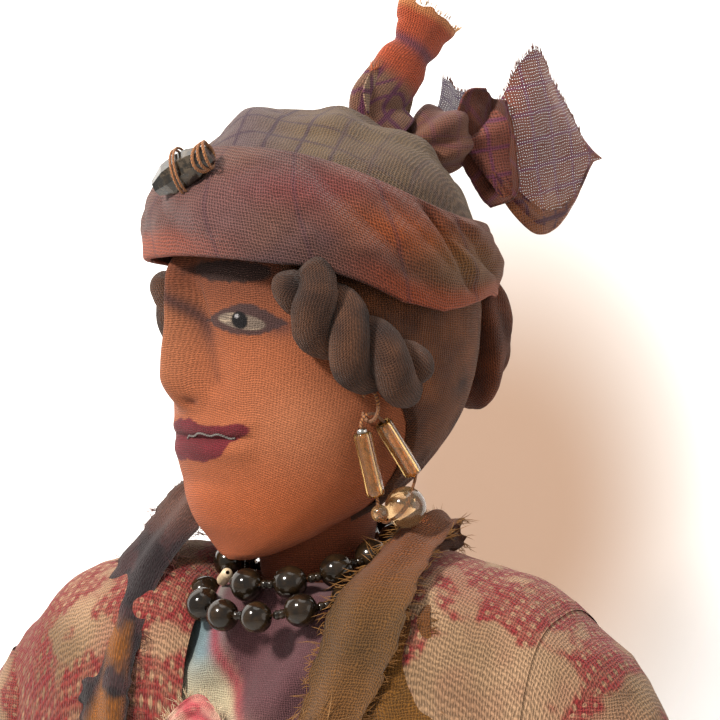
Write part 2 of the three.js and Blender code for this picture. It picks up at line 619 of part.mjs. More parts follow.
function buildRodAndHead() {
  const shoulder = TORSO_FOOT_Z - CLEAR - WASHER_H - 20;
  const rod = turned([
    [0, 0], [9, 0], [10.5, 3], [12, 30], [11.4, 70], [9, 104], [6.4, 118], [6.4, shoulder - 2],
    [ROD_R, shoulder], [ROD_R, ROD_TOP_Z - 2], [ROD_R - 1.2, ROD_TOP_Z], [0, ROD_TOP_Z],
  ], 16);
  place("central_rod", rod.subtract(crosswise(PEG_R + CLEAR, 60, PEG_Z)), MATERIAL.wood);
  place("neck_peg", crosswise(PEG_R, 2 * NECK_R - 3.6, PEG_Z), MATERIAL.wood);

  const bore = cylinder(ROD_R + CLEAR, v(0, 0, -60), v(0, 0, ROD_TOP_Z - CHIN_Z + CLEAR), 16);
  const pegHole = crosswise(PEG_R + CLEAR, 60, PEG_Z - CHIN_Z).rotate([0, 0, -THREE.MathUtils.radToDeg(HEAD_TURN)]);
  const core = headForm(-CLOTH - CLEAR).add(neckForm(NECK_R - CLOTH - CLEAR, NECK_FOOT_Z));
  place("head_core", core.subtract(bore).subtract(pegHole), MATERIAL.wood, head);
  const inside = headForm(-CLOTH).add(neckForm(NECK_R - CLOTH, NECK_FOOT_Z - 4));
  const cover = headForm(0).add(neckForm(NECK_R, NECK_FOOT_Z)).subtract(inside);
  place("face_cover", cover, MATERIAL.skin, head);

  const cap = headForm(CLEAR + HAIR_T).subtract(headForm(CLEAR)).intersect(behindHairline());
  place("hair_cap", cap.subtract(neckForm(NECK_R + 3, 440)), MATERIAL.hair, head);
  for (const [side, label] of [[1, "left"], [-1, "right"]]) {
    place(`hair_twist_${label}_a`, hairPly(side, 0), MATERIAL.hair, head);
    place(`hair_twist_${label}_b`, hairPly(side, Math.PI), MATERIAL.hair, head);
  }
  const bun = ellipsoid(v(-1, 38.5, 44), [13.5, 6.5, 15.5], 12);
  const under = wrapForm(CLEAR, RIM_LEVEL - 3);
  place("hair_bun", bun.subtract(headForm(HAIR_T + 2 * CLEAR)).subtract(under), MATERIAL.hair, head);
}

function buildHeadCloth() {
  const under = headForm(HAIR_T + 2 * CLEAR);
  const crownForm = wrapForm(-BAND_T - CLEAR, RIM_LEVEL + 1.5);
  place("wrap_crown", crownForm.subtract(under), MATERIAL.wrap, head);
  const levels = [RIM_LEVEL, 60, BAND_TOP_LEVEL];
  const out = levels.map((z) => wrapRing(z, 0));
  const inner = levels.map((z) => wrapRing(z, -BAND_T)).reverse();
  place("wrap_band", loft([...out, ...inner], true), MATERIAL.wrap, head);

  const knotForm = (grow) => ellipsoid(KNOT, [9 + grow, 7.5 + grow, 7 + grow], 10);
  const cloth = wrapForm(CLEAR - BAND_T / 2, RIM_LEVEL + 1.5);
  place("wrap_knot", knotForm(0).subtract(cloth), MATERIAL.wrapEnd, head);
  const clearOf = (end) => end.subtract(knotForm(CLEAR)).subtract(cloth);
  place("wrap_end_rolled", clearOf(rolledEnd()), MATERIAL.wrapEnd, head);
  place("wrap_end_fan", clearOf(fanEnd()), MATERIAL.wrapEnd, head);
  place("wrap_end_short", clearOf(shortEnd()), MATERIAL.wrapEnd, head);

  const { stone, loop } = foreheadStone();
  const clearOfStone = loop.subtract(wrapForm(CLEAR / 2, RIM_LEVEL + 1.5));
  place("forehead_stone", stone, MATERIAL.stone, head);
  place("stone_thread", clearOfStone, MATERIAL.cord, head);
}

function buildEarDrops() {
  for (const [side, label] of [[1, "left"], [-1, "right"]]) {
    const drop = new THREE.Group();
    drop.position.set(EAR.x * side, EAR.y, EAR.z);
    drop.rotation.x = EARRING_TILT;
    head.add(drop);
    const stitchCentre = v(EAR.x * side, EAR.y, EAR.z + EAR_LOOP_R);
    const stitch = cordLoop(stitchCentre, EAR_LOOP_R, v(1, 0, 0), v(0, 0, 1), THREAD_R, 12);
    place(`ear_stitch_${label}`, stitch.subtract(headForm(CLEAR / 4)), MATERIAL.cord, head);
    const { thread, ...beads } = earDrop();
    place(`ear_drop_thread_${label}`, thread, MATERIAL.cord, drop);
    for (const [bead, made] of Object.entries(beads)) {
      place(`ear_drop_${bead}_${label}`, made, bead.startsWith("tube") ? MATERIAL.gold : MATERIAL.glass, drop);
    }
  }
}

function buildTorsoAndClothes() {
  const top = TORSO_FOOT_Z - CLEAR;
  const washer = turned([
    [ROD_R + 0.4, top - WASHER_H], [13, top - WASHER_H], [14, top - WASHER_H + 1], [14, top - 1],
    [13, top], [ROD_R + 0.4, top], [ROD_R + 0.4, top - WASHER_H],
  ], 20);
  place("grip_washer", washer, MATERIAL.leather);
  place("torso_block", torsoBlock(), MATERIAL.wood);
  place("bodice", bodice(), MATERIAL.bodice);
  place("jacket", jacket(), MATERIAL.print);
  place("sash", bodyLayer(374, 394, JACKET_OUT + CLEAR, JACKET_OUT + CLEAR + SASH_T), MATERIAL.bodice);
  place("skirt", skirt(), MATERIAL.skirt);
  place("shawl", shawl(), MATERIAL.scarf);
  place("necklace_upper", upperStrand(), MATERIAL.bead);
  place("necklace_lower", lowerStrand(), MATERIAL.bead);
}

function buildArm(side, label) {
  const x = ARM_X * side;
  const across = v(side, 0, 0);
  const down = v(0, 0, -1);
  const ahead = v(0, -1, 0);
  const loopAt = (z, r, a, b) => cordLoop(v(x, 0, z), r, a, b);
  place(`shoulder_cord_${label}`, loopAt(SHOULDER_Z, SHOULDER_LOOP_R, across, down), MATERIAL.cord);
  place(`upper_arm_${label}`, upperArm(x), MATERIAL.wood);
  place(`elbow_cord_${label}`, loopAt(ELBOW_Z, ELBOW_LOOP_R, ahead, down), MATERIAL.cord);
  place(`forearm_${label}`, forearm(x), MATERIAL.wood);
  place(`wrist_cord_${label}`, loopAt(WRIST_Z, WRIST_LOOP_R, ahead, down), MATERIAL.cord);
  place(`hand_${label}`, hand(x, side), MATERIAL.skin);
  place(`rod_tie_${label}`, loopAt(GRIP_TIE_Z, TIE_LOOP_R, ahead, down), MATERIAL.cord);
  place(`arm_rod_${label}`, armRod(x), MATERIAL.wood);
  place(`sleeve_upper_${label}`, sleeve(x, [
    [ELBOW_Z + 15, 9.8, 11], [ELBOW_Z + 40, 10.4, 12], [SHOULDER_Z - 26, 10.6, 13], [SHOULDER_Z - 15, 10.6, 13],
  ]), MATERIAL.print);
  place(`sleeve_lower_${label}`, sleeve(x, [
    [WRIST_Z + 10, 12, 16], [WRIST_Z + 30, 11, 14], [ELBOW_Z - 30, 10.2, 12], [ELBOW_Z - 15, 9.8, 11],
  ]), MATERIAL.print);
}

buildRodAndHead();
buildHeadCloth();
buildEarDrops();
buildTorsoAndClothes();
buildArm(1, "left");
buildArm(-1, "right");

export default puppet;
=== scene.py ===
"""Looks for the cloth-headed rod puppet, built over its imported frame. Lengths here are millimetres
until a mesh is made. Head pieces are drawn in the head's own frame: origin at the lowest point of the
chin, over the rod, with the face towards -Y; head_frame() takes them to the row frame."""

import math

import bpy
import numpy as np
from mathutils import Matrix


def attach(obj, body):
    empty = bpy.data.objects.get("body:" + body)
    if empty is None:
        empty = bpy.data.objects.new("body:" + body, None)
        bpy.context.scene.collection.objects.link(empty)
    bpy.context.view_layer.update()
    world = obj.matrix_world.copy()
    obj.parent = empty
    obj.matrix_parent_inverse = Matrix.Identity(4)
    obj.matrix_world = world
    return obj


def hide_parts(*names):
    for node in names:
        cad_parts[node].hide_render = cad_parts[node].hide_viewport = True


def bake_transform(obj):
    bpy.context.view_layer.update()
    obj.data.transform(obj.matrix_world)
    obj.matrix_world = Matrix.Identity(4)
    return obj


MM = 0.001
CHIN_Z = 485.0
HEAD_TURN = math.radians(-28)
ARM_X = 62.0
SHOULDER_Z, ELBOW_Z, WRIST_Z, TIE_Z = 464.0, 366.0, 286.0, 244.0
RNG = np.random.default_rng(7)
TAU = 2 * math.pi
SIDES = ((1, "left"), (-1, "right"))

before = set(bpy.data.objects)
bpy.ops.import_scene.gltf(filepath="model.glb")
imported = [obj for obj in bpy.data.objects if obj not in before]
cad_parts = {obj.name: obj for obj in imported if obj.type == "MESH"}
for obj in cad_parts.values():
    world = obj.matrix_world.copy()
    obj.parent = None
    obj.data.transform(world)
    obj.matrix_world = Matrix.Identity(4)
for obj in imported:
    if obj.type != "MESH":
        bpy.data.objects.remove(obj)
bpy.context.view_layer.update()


# ---- numbers and noise ---------------------------------------------------------------------------
def srgb(r, g, b):
    c = np.array([r, g, b], float) / 255
    return np.where(c <= 0.04045, c / 12.92, ((c + 0.055) / 1.055) ** 2.4)


def step(x, low, high):
    t = np.clip((x - low) / (high - low), 0, 1)
    return t * t * (3 - 2 * t)


def bump(x, centre, width):
    return np.exp(-(((x - centre) / width) ** 2))


def lattice(cell, corner):
    n = (cell[..., 0] + corner[0]) * 374761393 + (cell[..., 1] + corner[1]) * 668265263
    n = n + (cell[..., 2] + corner[2]) * 1440662683
    n = (n ^ (n >> 13)) * 1274126177
    return ((n ^ (n >> 16)) & 0xFFFF) / 65535


def noise(points, size, seed=0):
    """Smooth noise from 0 to 1 over points, with blobs about size across."""
    p = points / size + seed * 31.7
    cell = np.floor(p).astype(np.int64)
    f = p - cell
    f = f * f * (3 - 2 * f)
    total = 0
    for corner in np.ndindex(2, 2, 2):
        weight = 1
        for k in range(3):
            weight = weight * (f[..., k] if corner[k] else 1 - f[..., k])
        total = total + weight * lattice(cell, corner)
    return total


def cloudy(points, size, seed=0):
    return (noise(points, size, seed) * 4 + noise(points, size / 2, seed + 1) * 2
            + noise(points, size / 4, seed + 2)) / 7


def even_tint(p, r, g, b):
    """One colour for every point of a grid."""
    return np.array(srgb(r, g, b)) + 0 * p


def lay_colours(tint, *layers):
    """The tint with one colour after another laid over it, each given as (share, r, g, b); on the face some
    layers are painted shade and painted highlights.
    """
    for share, *colour in layers:
        tint = tint + np.clip(share, 0, 1)[..., None] * (srgb(*colour) - tint)
    return tint


def outward(theta):
    """Directions level with the ground; theta is 0 at the front and turns towards the puppet's left."""
    return np.stack([np.sin(theta), -np.cos(theta), 0 * theta], -1)


def pole(row):
    """A row of points that are all at the middle of another, to close a grid's end."""
    return np.repeat(row.mean(0)[None, None], len(row), 1)


def smooth_table(rows):
    """A smooth curve through rows, each a place followed by the values there."""
    rows = np.array(rows, float)
    x, y = rows[:, 0], rows[:, 1:]
    slope = np.gradient(y, x, axis=0)
    dense = np.linspace(x[0], x[-1], 400)
    i = np.clip(np.searchsorted(x, dense, side="right") - 1, 0, len(x) - 2)
    h = (x[i + 1] - x[i])[:, None]
    t = ((dense - x[i]) / (x[i + 1] - x[i]))[:, None]
    value = (2 * t**3 - 3 * t**2 + 1) * y[i] + (t**3 - 2 * t**2 + t) * h * slope[i]
    value = value + (3 * t**2 - 2 * t**3) * y[i + 1] + (t**3 - t**2) * h * slope[i + 1]
    return lambda at: [np.interp(at, dense, value[:, k]) for k in range(value.shape[1])]


def curve_through(points, count):
    """count points spaced evenly along a smooth curve through points."""
    points = np.array(points, float)
    along = np.concatenate([[0], np.cumsum(np.linalg.norm(np.diff(points, axis=0), axis=1))])
    curve = smooth_table(np.column_stack([along, points]))
    fine = np.stack(curve(np.linspace(0, along[-1], 10 * count)), 1)
    length = np.concatenate([[0], np.cumsum(np.linalg.norm(np.diff(fine, axis=0), axis=1))])
    at = np.linspace(0, length[-1], count)
    return np.stack([np.interp(at, length, fine[:, k]) for k in range(3)], 1)


def head_frame(p):
    """Points of the head's own frame in the row frame."""
    c, s = math.cos(HEAD_TURN), math.sin(HEAD_TURN)
    x, y, z = p[..., 0], p[..., 1], p[..., 2]
    return np.stack([c * x - s * y, s * x + c * y, z + CHIN_Z], -1)


# ---- meshes --------------------------------------------------------------------------------------
def mesh_piece(name, points, faces, material, body, uv=None, tint=None, stands_for=(), slot=None,
               smooth=True):
    """A mesh that rides on a CAD body and shows in place of the CAD nodes stands_for."""
    mesh = bpy.data.meshes.new(name)
    a, b, c = (points[faces[:, k]] - points.mean(0) for k in range(3))
    inside_out = np.einsum("ij,ij->i", a, np.cross(b, c)).sum() < 0
    mesh.from_pydata((points * MM).tolist(), [], (faces[:, ::-1] if inside_out else faces).tolist())
    if uv is not None:
        layer = mesh.uv_layers.new(name="Thread")
        loops = np.empty(len(mesh.loops), np.int32)
        mesh.loops.foreach_get("vertex_index", loops)
        layer.data.foreach_set("uv", uv[loops].astype(np.float32).ravel())
    if tint is not None:
        layer = mesh.color_attributes.new("Tint", "FLOAT_COLOR", "POINT")
        full = np.column_stack([tint, np.ones(len(tint))]) if tint.shape[1] == 3 else tint
        layer.data.foreach_set("color", full.astype(np.float32).ravel())
    mesh.polygons.foreach_set("use_smooth", [smooth] * len(mesh.polygons))
    mesh.materials.append(MAT[material])
    mesh.validate()
    piece = bpy.data.objects.new(name, mesh)
    bpy.context.scene.collection.objects.link(piece)
    if body:
        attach(piece, body)
    if stands_for:
        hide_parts(*stands_for)
    return piece


def grid_faces(rows, columns):
    i, j = np.arange(rows - 1)[:, None], np.arange(columns - 1)[None, :]
    corners = ((i, j), (i, j + 1), (i + 1, j + 1), (i + 1, j))
    return np.column_stack([(row * columns + column).ravel() for row, column in corners])


def arc_uv(surface):
    """Thread coordinates in millimetres, measured along the rows and columns of a grid."""
    across = np.linalg.norm(np.diff(surface, axis=1), axis=2)
    down = np.linalg.norm(np.diff(surface, axis=0), axis=2)
    u = np.concatenate([np.zeros((len(surface), 1)), np.cumsum(across, 1)], 1)
    v = np.concatenate([np.zeros((1, surface.shape[1])), np.cumsum(down, 0)], 0)
    return np.stack([u - u.mean(1, keepdims=True), v], -1)


def grid_piece(name, surface, material, body, tint=None, uv=None, thick=0, **options):
    """A piece from a grid of points."""
    rows, columns = surface.shape[:2]
    uv = arc_uv(surface) if uv is None else uv
    tint = None if tint is None else tint.reshape(rows * columns, -1)
    faces = grid_faces(rows, columns)
    piece = mesh_piece(name, surface.reshape(-1, 3), faces, material, body, uv.reshape(-1, 2), tint,
                       **options)
    if thick:
        solid = piece.modifiers.new("Thickness", "SOLIDIFY")
        solid.thickness = thick * MM
        solid.offset = 0
    return piece


def head_grid(name, surface, material, **options):
    """A piece on the head, from a grid of points in the head's own frame."""
    return grid_piece(name, head_frame(surface), material, "rod_and_head", **options)


def tube_surface(path, radius, sides):
    """Rings about a path; radius is a number or a value for each point."""
    tangent = np.gradient(path, axis=0)
    tangent /= np.linalg.norm(tangent, axis=1)[:, None]
    start = np.cross(tangent[0], [0.31, 0.2, 0.93])
    normal = start / np.linalg.norm(start)
    angle = np.linspace(0, TAU, sides + 1)[:, None]
    rings = []
    for at, along, wide in zip(path, tangent, np.broadcast_to(radius, len(path))):
        normal = normal - along * normal.dot(along)
        normal /= np.linalg.norm(normal)
        rings.append(at + wide * np.cos(angle) * normal + wide * np.sin(angle) * np.cross(along, normal))
    return np.array(rings)


def rounded(count, end=0.12):
    """Shares of the full radius along a tube that closes to a point at both ends."""
    t = np.linspace(0, 1, count)
    edge = np.clip(np.minimum(t, 1 - t) / end, 0, 1)
    return np.sqrt(1 - (1 - edge) ** 2) + 0.002


def ring_surface(centre, radius, along, across, wire, steps=48, sides=10):
    angle = np.linspace(0, TAU, steps)[:, None]
    turn = np.linspace(0, TAU, sides + 1)[None, :, None]
    along, across = np.array(along, float), np.array(across, float)
    out = np.cos(angle) * along + np.sin(angle) * across
    path = (np.array(centre) + radius * out)[:, None]
    return path + wire * (np.cos(turn) * out[:, None] + np.sin(turn) * np.cross(along, across))


def join(parts):
    """Points and faces of several (points, faces) as one."""
    points, faces, start = [], [], 0
    for p, f in parts:
        points.append(p)
        faces.append(f + start)
        start += len(p)
    return np.concatenate(points), np.concatenate(faces)


def ball(centre, radius, sides=24, hole=0.0, axis=(0, 0, 1)):
    """A bead as a grid of points, open along its axis where it has a hole."""
    axis = np.array(axis, float) / np.linalg.norm(axis)
    side = np.cross(axis, [0.3, 0.9, 0.2])
    side /= np.linalg.norm(side)
    other = np.cross(axis, side)
    edge = math.asin(hole / radius) if hole else 0.0
    polar = np.linspace(edge, math.pi - edge, sides // 2 + 1)[:, None, None]
    around = np.linspace(0, TAU, sides + 1)[None, :, None]
    shape = np.sin(polar) * (np.cos(around) * side + np.sin(around) * other) + np.cos(polar) * axis
    return np.array(centre) + radius * shape


def strand_mesh(surfaces):
    """Points and faces of several grids of points as one."""
    return join([(s.reshape(-1, 3), grid_faces(*s.shape[:2])) for s in surfaces])


def strand_uv(surfaces):
    return np.concatenate([arc_uv(s).reshape(-1, 2) for s in surfaces])


def threads(paths, radius):
    """Many short threads as one mesh: each is a three-sided tube along its own points."""
    return strand_mesh([tube_surface(np.array(path), radius * rounded(len(path), 0.3), 3) for path in paths])


# ---- materials -----------------------------------------------------------------------------------
class Graph:
    """Builds the nodes of one material."""

    def __init__(self, name):
        self.material = bpy.data.materials.new(name)
        self.material.use_nodes = True
        self.tree = self.material.node_tree
        self.shader = self.tree.nodes["Principled BSDF"]
        self.output = self.tree.nodes["Material Output"]

    def put(self, socket, value):
        if isinstance(value, bpy.types.NodeSocket):
            self.tree.links.new(value, socket)
        elif hasattr(value, "__len__") and len(value) == 3 and socket.type == "RGBA":
            socket.default_value = (*value, 1)
        else:
            socket.default_value = value

    def node(self, kind, out=0, inputs=(), **settings):
        made = self.tree.nodes.new(kind)
        for key, value in settings.items():
            setattr(made, key, value)
        for key, value in dict(inputs).items():
            self.put(made.inputs[key], value)
        return made.outputs[out]

    def math(self, operation, a, b=0.0, c=0.0):
        return self.node("ShaderNodeMath", inputs={0: a, 1: b, 2: c}, operation=operation)

    def blend(self, share, a, b, how="MIX"):
        return self.node("ShaderNodeMix", 2, {0: share, 6: a, 7: b}, data_type="RGBA", blend_type=how)

    def spread(self, value, low, high, new_low=0.0, new_high=1.0):
        inputs = {0: value, 1: low, 2: high, 3: new_low, 4: new_high}
        return self.node("ShaderNodeMapRange", inputs=inputs, interpolation_type="SMOOTHSTEP")

    def place(self):
        return self.node("ShaderNodeTexCoord", "Object")

    def mottle(self, scale, detail=4.0, rough=0.6, out="Fac"):
        inputs = {"Vector": self.place(), "Scale": scale, "Detail": detail, "Roughness": rough}
        return self.node("ShaderNodeTexNoise", out, inputs)

    def tint(self):
        return self.node("ShaderNodeVertexColor", "Color", layer_name="Tint")

    def relief(self, height, distance, strength=1.0):
        inputs = {"Height": height, "Distance": distance, "Strength": strength}
        self.put(self.shader.inputs["Normal"], self.node("ShaderNodeBump", inputs=inputs))

    def set(self, **values):
        for key, value in values.items():
            self.put(self.shader.inputs[key.replace("_", " ")], value)
        return self.material


def weave(g, across, down, wander=0.25, warp_share=1.0):
    """(height, gap) of a plain weave whose thread spacings are given in millimetres."""
    uv = g.node("ShaderNodeUVMap", uv_map="Thread")
    drift = g.node("ShaderNodeTexNoise", "Color", {"Vector": uv, "Scale": 0.35, "Detail": 3.0})
    drift = g.node("ShaderNodeVectorMath", inputs={0: drift, 1: (0.5, 0.5, 0.5)}, operation="SUBTRACT")
    drift = g.node("ShaderNodeVectorMath", inputs={0: drift, "Scale": wander * 4}, operation="SCALE")
    moved = g.node("ShaderNodeVectorMath", inputs={0: uv, 1: drift}, operation="ADD")
    part = g.node("ShaderNodeSeparateXYZ", inputs={0: moved}).node
    u = g.math("MULTIPLY", part.outputs[0], math.pi / across)
    v = g.math("MULTIPLY", part.outputs[1], math.pi / down)
    cu, cv = g.math("COSINE", u), g.math("COSINE", v)
    warp, weft = g.math("MULTIPLY", cu, cu), g.math("MULTIPLY", cv, cv)
    su, sv = g.math("SINE", u), g.math("SINE", v)
    over = g.spread(g.math("MULTIPLY", g.math("MULTIPLY", cu, cv), 2.5), -1.0, 1.0)
    high_warp = g.math("MULTIPLY", warp, g.spread(over, 0.0, 1.0, 0.55 * warp_share, warp_share))
    high_weft = g.math("MULTIPLY", weft, g.spread(over, 0.0, 1.0, 1.0, 0.55))
    height = g.math("MAXIMUM", high_warp, high_weft)
    gap = g.math("MULTIPLY", g.math("MULTIPLY", su, su), g.math("MULTIPLY", sv, sv))
    return height, gap


def printed(g, pitch, ink):
    """The tint, with pale-dotted ink over it where the tint's alpha says so."""
    uv = g.node("ShaderNodeUVMap", uv_map="Thread")
    part = g.node("ShaderNodeSeparateXYZ", inputs={0: uv}).node
    along = g.math("COSINE", g.math("MULTIPLY", part.outputs[0], TAU / pitch))
    down = g.math("COSINE", g.math("MULTIPLY", part.outputs[1], TAU / (0.8 * pitch)))
    dots = g.spread(g.math("ADD", along, down), 0.7, 1.5, 1.0, 0.1)
    worn = g.spread(g.mottle(500.0, 3.0), 0.3, 0.65, 0.5, 0.95)
    where = g.node("ShaderNodeVertexColor", "Alpha", layer_name="Tint")
    share = g.math("MULTIPLY", g.math("MULTIPLY", dots, where), worn)
    return g.blend(share, g.tint(), ink)


def cloth(name, across, down, ink=None, open_from=None, deep=0.5, relief=0.00012, rough=0.92, sheen=0.12,
          wander=0.25, glow=0.0, warp_share=1.0):
    """Woven cloth: threads shade the tint, and the weave is open where open_from is given."""
    g = Graph(name)
    height, gap = weave(g, across, down, wander, warp_share)
    colour = g.tint() if ink is None else printed(g, 2.2, ink)
    fuzz = g.mottle(2600.0, 3.0)
    lit = g.math("MULTIPLY", g.spread(height, 0.15, 0.95, 1 - deep, 1.12),
                 g.spread(fuzz, 0.3, 0.7, 0.86, 1.12))
    colour = g.blend(1.0, colour, g.node("ShaderNodeCombineColor", inputs={0: lit, 1: lit, 2: lit}),
                     "MULTIPLY")
    g.relief(g.math("ADD", height, g.math("MULTIPLY", fuzz, 0.35)), relief)
    g.set(Base_Color=colour, Roughness=rough, Sheen_Weight=sheen, Sheen_Roughness=0.5, Specular_IOR_Level=0.2)
    if open_from is not None:
        holes = g.spread(g.math("ADD", gap, g.math("MULTIPLY", fuzz, 0.25)), open_from, open_from + 0.16,
                         1.0, 0.0)
        g.set(Alpha=holes)
    if glow:
        g.set(Subsurface_Weight=glow, Subsurface_Radius=(0.5, 0.25, 0.15), Subsurface_Scale=0.0012)
    return g.material


def wood(name, pale, dark, grain=1.0, rough=0.5, coat=0.1):
    g = Graph(name)
    place = g.node("ShaderNodeMapping", inputs={0: g.place(), 3: (1.0, 1.0, 0.06)})
    rings = g.node("ShaderNodeTexNoise", "Fac", {"Vector": place, "Scale": 420.0 * grain, "Detail": 6.0,
                                                 "Roughness": 0.65})
    pores = g.node("ShaderNodeTexNoise", "Fac", {"Vector": place, "Scale": 2400.0 * grain, "Detail": 2.0})
    grimy = g.mottle(35.0, 3.0)
    colour = g.blend(g.spread(rings, 0.32, 0.7), dark, pale)
    colour = g.blend(g.spread(grimy, 0.4, 0.75, 0.0, 0.35), colour, dark)
    g.relief(g.math("ADD", rings, g.math("MULTIPLY", pores, 0.5)), 0.00015, 0.6)
    return g.set(Base_Color=colour, Roughness=g.spread(pores, 0.3, 0.7, rough - 0.1, rough + 0.12),
                 Coat_Weight=coat, Coat_Roughness=0.3)


def painted_wood():
    g = Graph("painted_wood")
    worn = g.spread(g.mottle(160.0, 6.0, 0.7), 0.62, 0.68)
    shade = g.spread(g.mottle(60.0), 0.3, 0.7)
    skin = g.blend(shade, srgb(150, 84, 54), srgb(178, 108, 72))
    colour = g.blend(worn, skin, srgb(196, 158, 110))
    g.relief(g.mottle(900.0, 4.0), 0.00006)
    return g.set(Base_Color=colour, Roughness=g.spread(worn, 0.0, 1.0, 0.42, 0.7), Coat_Weight=0.15)


def leather():
    g = Graph("leather")
    pebble = g.node("ShaderNodeTexVoronoi", "Distance", {"Vector": g.place(), "Scale": 1100.0})
    colour = g.blend(g.spread(g.mottle(220.0), 0.3, 0.7), srgb(70, 42, 26), srgb(108, 70, 44))
    g.relief(pebble, 0.0001, 0.7)
    return g.set(Base_Color=colour, Roughness=0.55)


def twisted_cord(name, pale, dark, spacing=1.6):
    g = Graph(name)
    uv = g.node("ShaderNodeUVMap", uv_map="Thread")
    part = g.node("ShaderNodeSeparateXYZ", inputs={0: uv}).node
    slant = g.math("ADD", g.math("MULTIPLY", part.outputs[1], TAU / spacing),
                   g.math("MULTIPLY", part.outputs[0], 2.6))
    ply = g.spread(g.math("SINE", slant), -1.0, 1.0)
    fuzz = g.mottle(3000.0)
    colour = g.blend(g.math("MULTIPLY", ply, g.spread(fuzz, 0.3, 0.7, 0.7, 1.0)), dark, pale)
    g.relief(g.math("ADD", ply, g.math("MULTIPLY", fuzz, 0.4)), 0.0002)
    return g.set(Base_Color=colour, Roughness=0.85, Sheen_Weight=0.2)


def glass(name, colour, clear=1.0, rough=0.06, ior=1.5, cloud=None, cloud_share=0.35, coat=0.4):
    g = Graph(name)
    smear = g.mottle(420.0, 4.0)
    tone = g.blend(g.spread(smear, 0.35, 0.7, 0.0, cloud_share), colour, colour if cloud is None else cloud)
    g.relief(g.mottle(300.0, 2.0), 0.00006, 0.4)
    return g.set(Base_Color=tone, Transmission_Weight=clear,
                 Roughness=g.spread(smear, 0.3, 0.75, rough, rough + 0.1), IOR=ior, Coat_Weight=coat,
                 Coat_Roughness=0.05)


def stone_material():
    g = Graph("smoky_stone")
    veins = g.spread(g.mottle(330.0, 7.0, 0.7), 0.45, 0.62)
    colour = g.blend(veins, srgb(26, 23, 18), srgb(74, 60, 42))
    g.relief(g.mottle(700.0, 3.0), 0.00008, 0.5)
    return g.set(Base_Color=colour, Roughness=g.spread(veins, 0.0, 1.0, 0.14, 0.35), Transmission_Weight=0.15,
                 Coat_Weight=0.5, Coat_Roughness=0.08)


def metal(name, colour, rough=0.25):
    g = Graph(name)
    tarnish = g.spread(g.mottle(900.0, 4.0), 0.4, 0.7)
    shade = g.blend(tarnish, colour, [0.35 * c for c in colour])
    return g.set(Base_Color=shade, Metallic=1.0, Roughness=g.spread(tarnish, 0.0, 1.0, rough, rough + 0.25))


def plain(name, colour, rough=0.8):
    g = Graph(name)
    shade = g.blend(g.spread(g.mottle(500.0), 0.3, 0.7), colour, [0.75 * c for c in colour])
    return g.set(Base_Color=shade, Roughness=rough)


MAT = {
    "face": cloth("face_knit", 0.52, 0.44, deep=0.45, relief=0.00016, rough=0.78, sheen=0.06, wander=0.2,
                  warp_share=0.62),
    "hair": cloth("hair_knit", 0.6, 0.5, deep=0.62, relief=0.00024, rough=0.95, sheen=0.08),
    "wrap": cloth("wrap_gauze", 0.52, 0.52, deep=0.6, relief=0.0002, rough=0.9, wander=0.22),
    "tail": cloth("open_gauze", 0.62, 0.62, deep=0.4, open_from=0.9, relief=0.0002, wander=0.3, glow=0.1),
    "loop": cloth("knot_gauze", 0.5, 0.5, deep=0.5, relief=0.0002),
    "scarf": cloth("scarf_gauze", 0.62, 0.62, deep=0.5, relief=0.0002, wander=0.45),
    "print": cloth("print_gauze", 0.6, 0.6, srgb(124, 28, 34), deep=0.5, relief=0.0002, wander=0.3),
    "bodice": cloth("patched_cotton", 0.45, 0.45, deep=0.35, relief=0.00014, wander=0.3),
    "skirt": cloth("skirt_cotton", 0.36, 0.36, deep=0.35, relief=0.0001),
    "rod": wood("rod_wood", srgb(172, 122, 78), srgb(92, 56, 32), coat=0.2),
    "carved": wood("carved_wood", srgb(196, 152, 104), srgb(132, 90, 56), 0.8, 0.6, 0.0),
    "hand": painted_wood(),
    "leather": leather(),
    "cord": twisted_cord("cotton_cord", srgb(206, 184, 146), srgb(120, 96, 66)),
    "thread": twisted_cord("waxed_thread", srgb(190, 124, 66), srgb(110, 62, 30), 0.7),
    "grey_thread": twisted_cord("grey_thread", srgb(128, 118, 112), srgb(78, 70, 68), 0.6),
    "pale_fray": plain("pale_fray", srgb(176, 132, 84)),
    "rust_fray": plain("rust_fray", srgb(178, 92, 52)),
    "plum_fray": plain("plum_fray", srgb(104, 62, 54)),
    "scarf_fray": plain("scarf_fray", srgb(140, 94, 40)),
    "stone": stone_material(),
    "tube": glass("gold_glass", srgb(236, 196, 128), 0.95, 0.05, 1.5, srgb(176, 128, 60), 0.3),
    "lining": metal("gold_lining", srgb(206, 160, 78)),
    "clear": glass("clear_bead", srgb(226, 188, 140), 0.9, 0.05, 1.48, srgb(170, 124, 78), 0.6),
    "dark": glass("dark_bead", srgb(24, 19, 14), 0.15, 0.1, 1.42, srgb(62, 44, 24), 0.6, 0.1),
    "bone": plain("bone_bead", srgb(216, 192, 158), 0.4),
    "silver": metal("silver_crimp", srgb(214, 210, 204), 0.15),
}


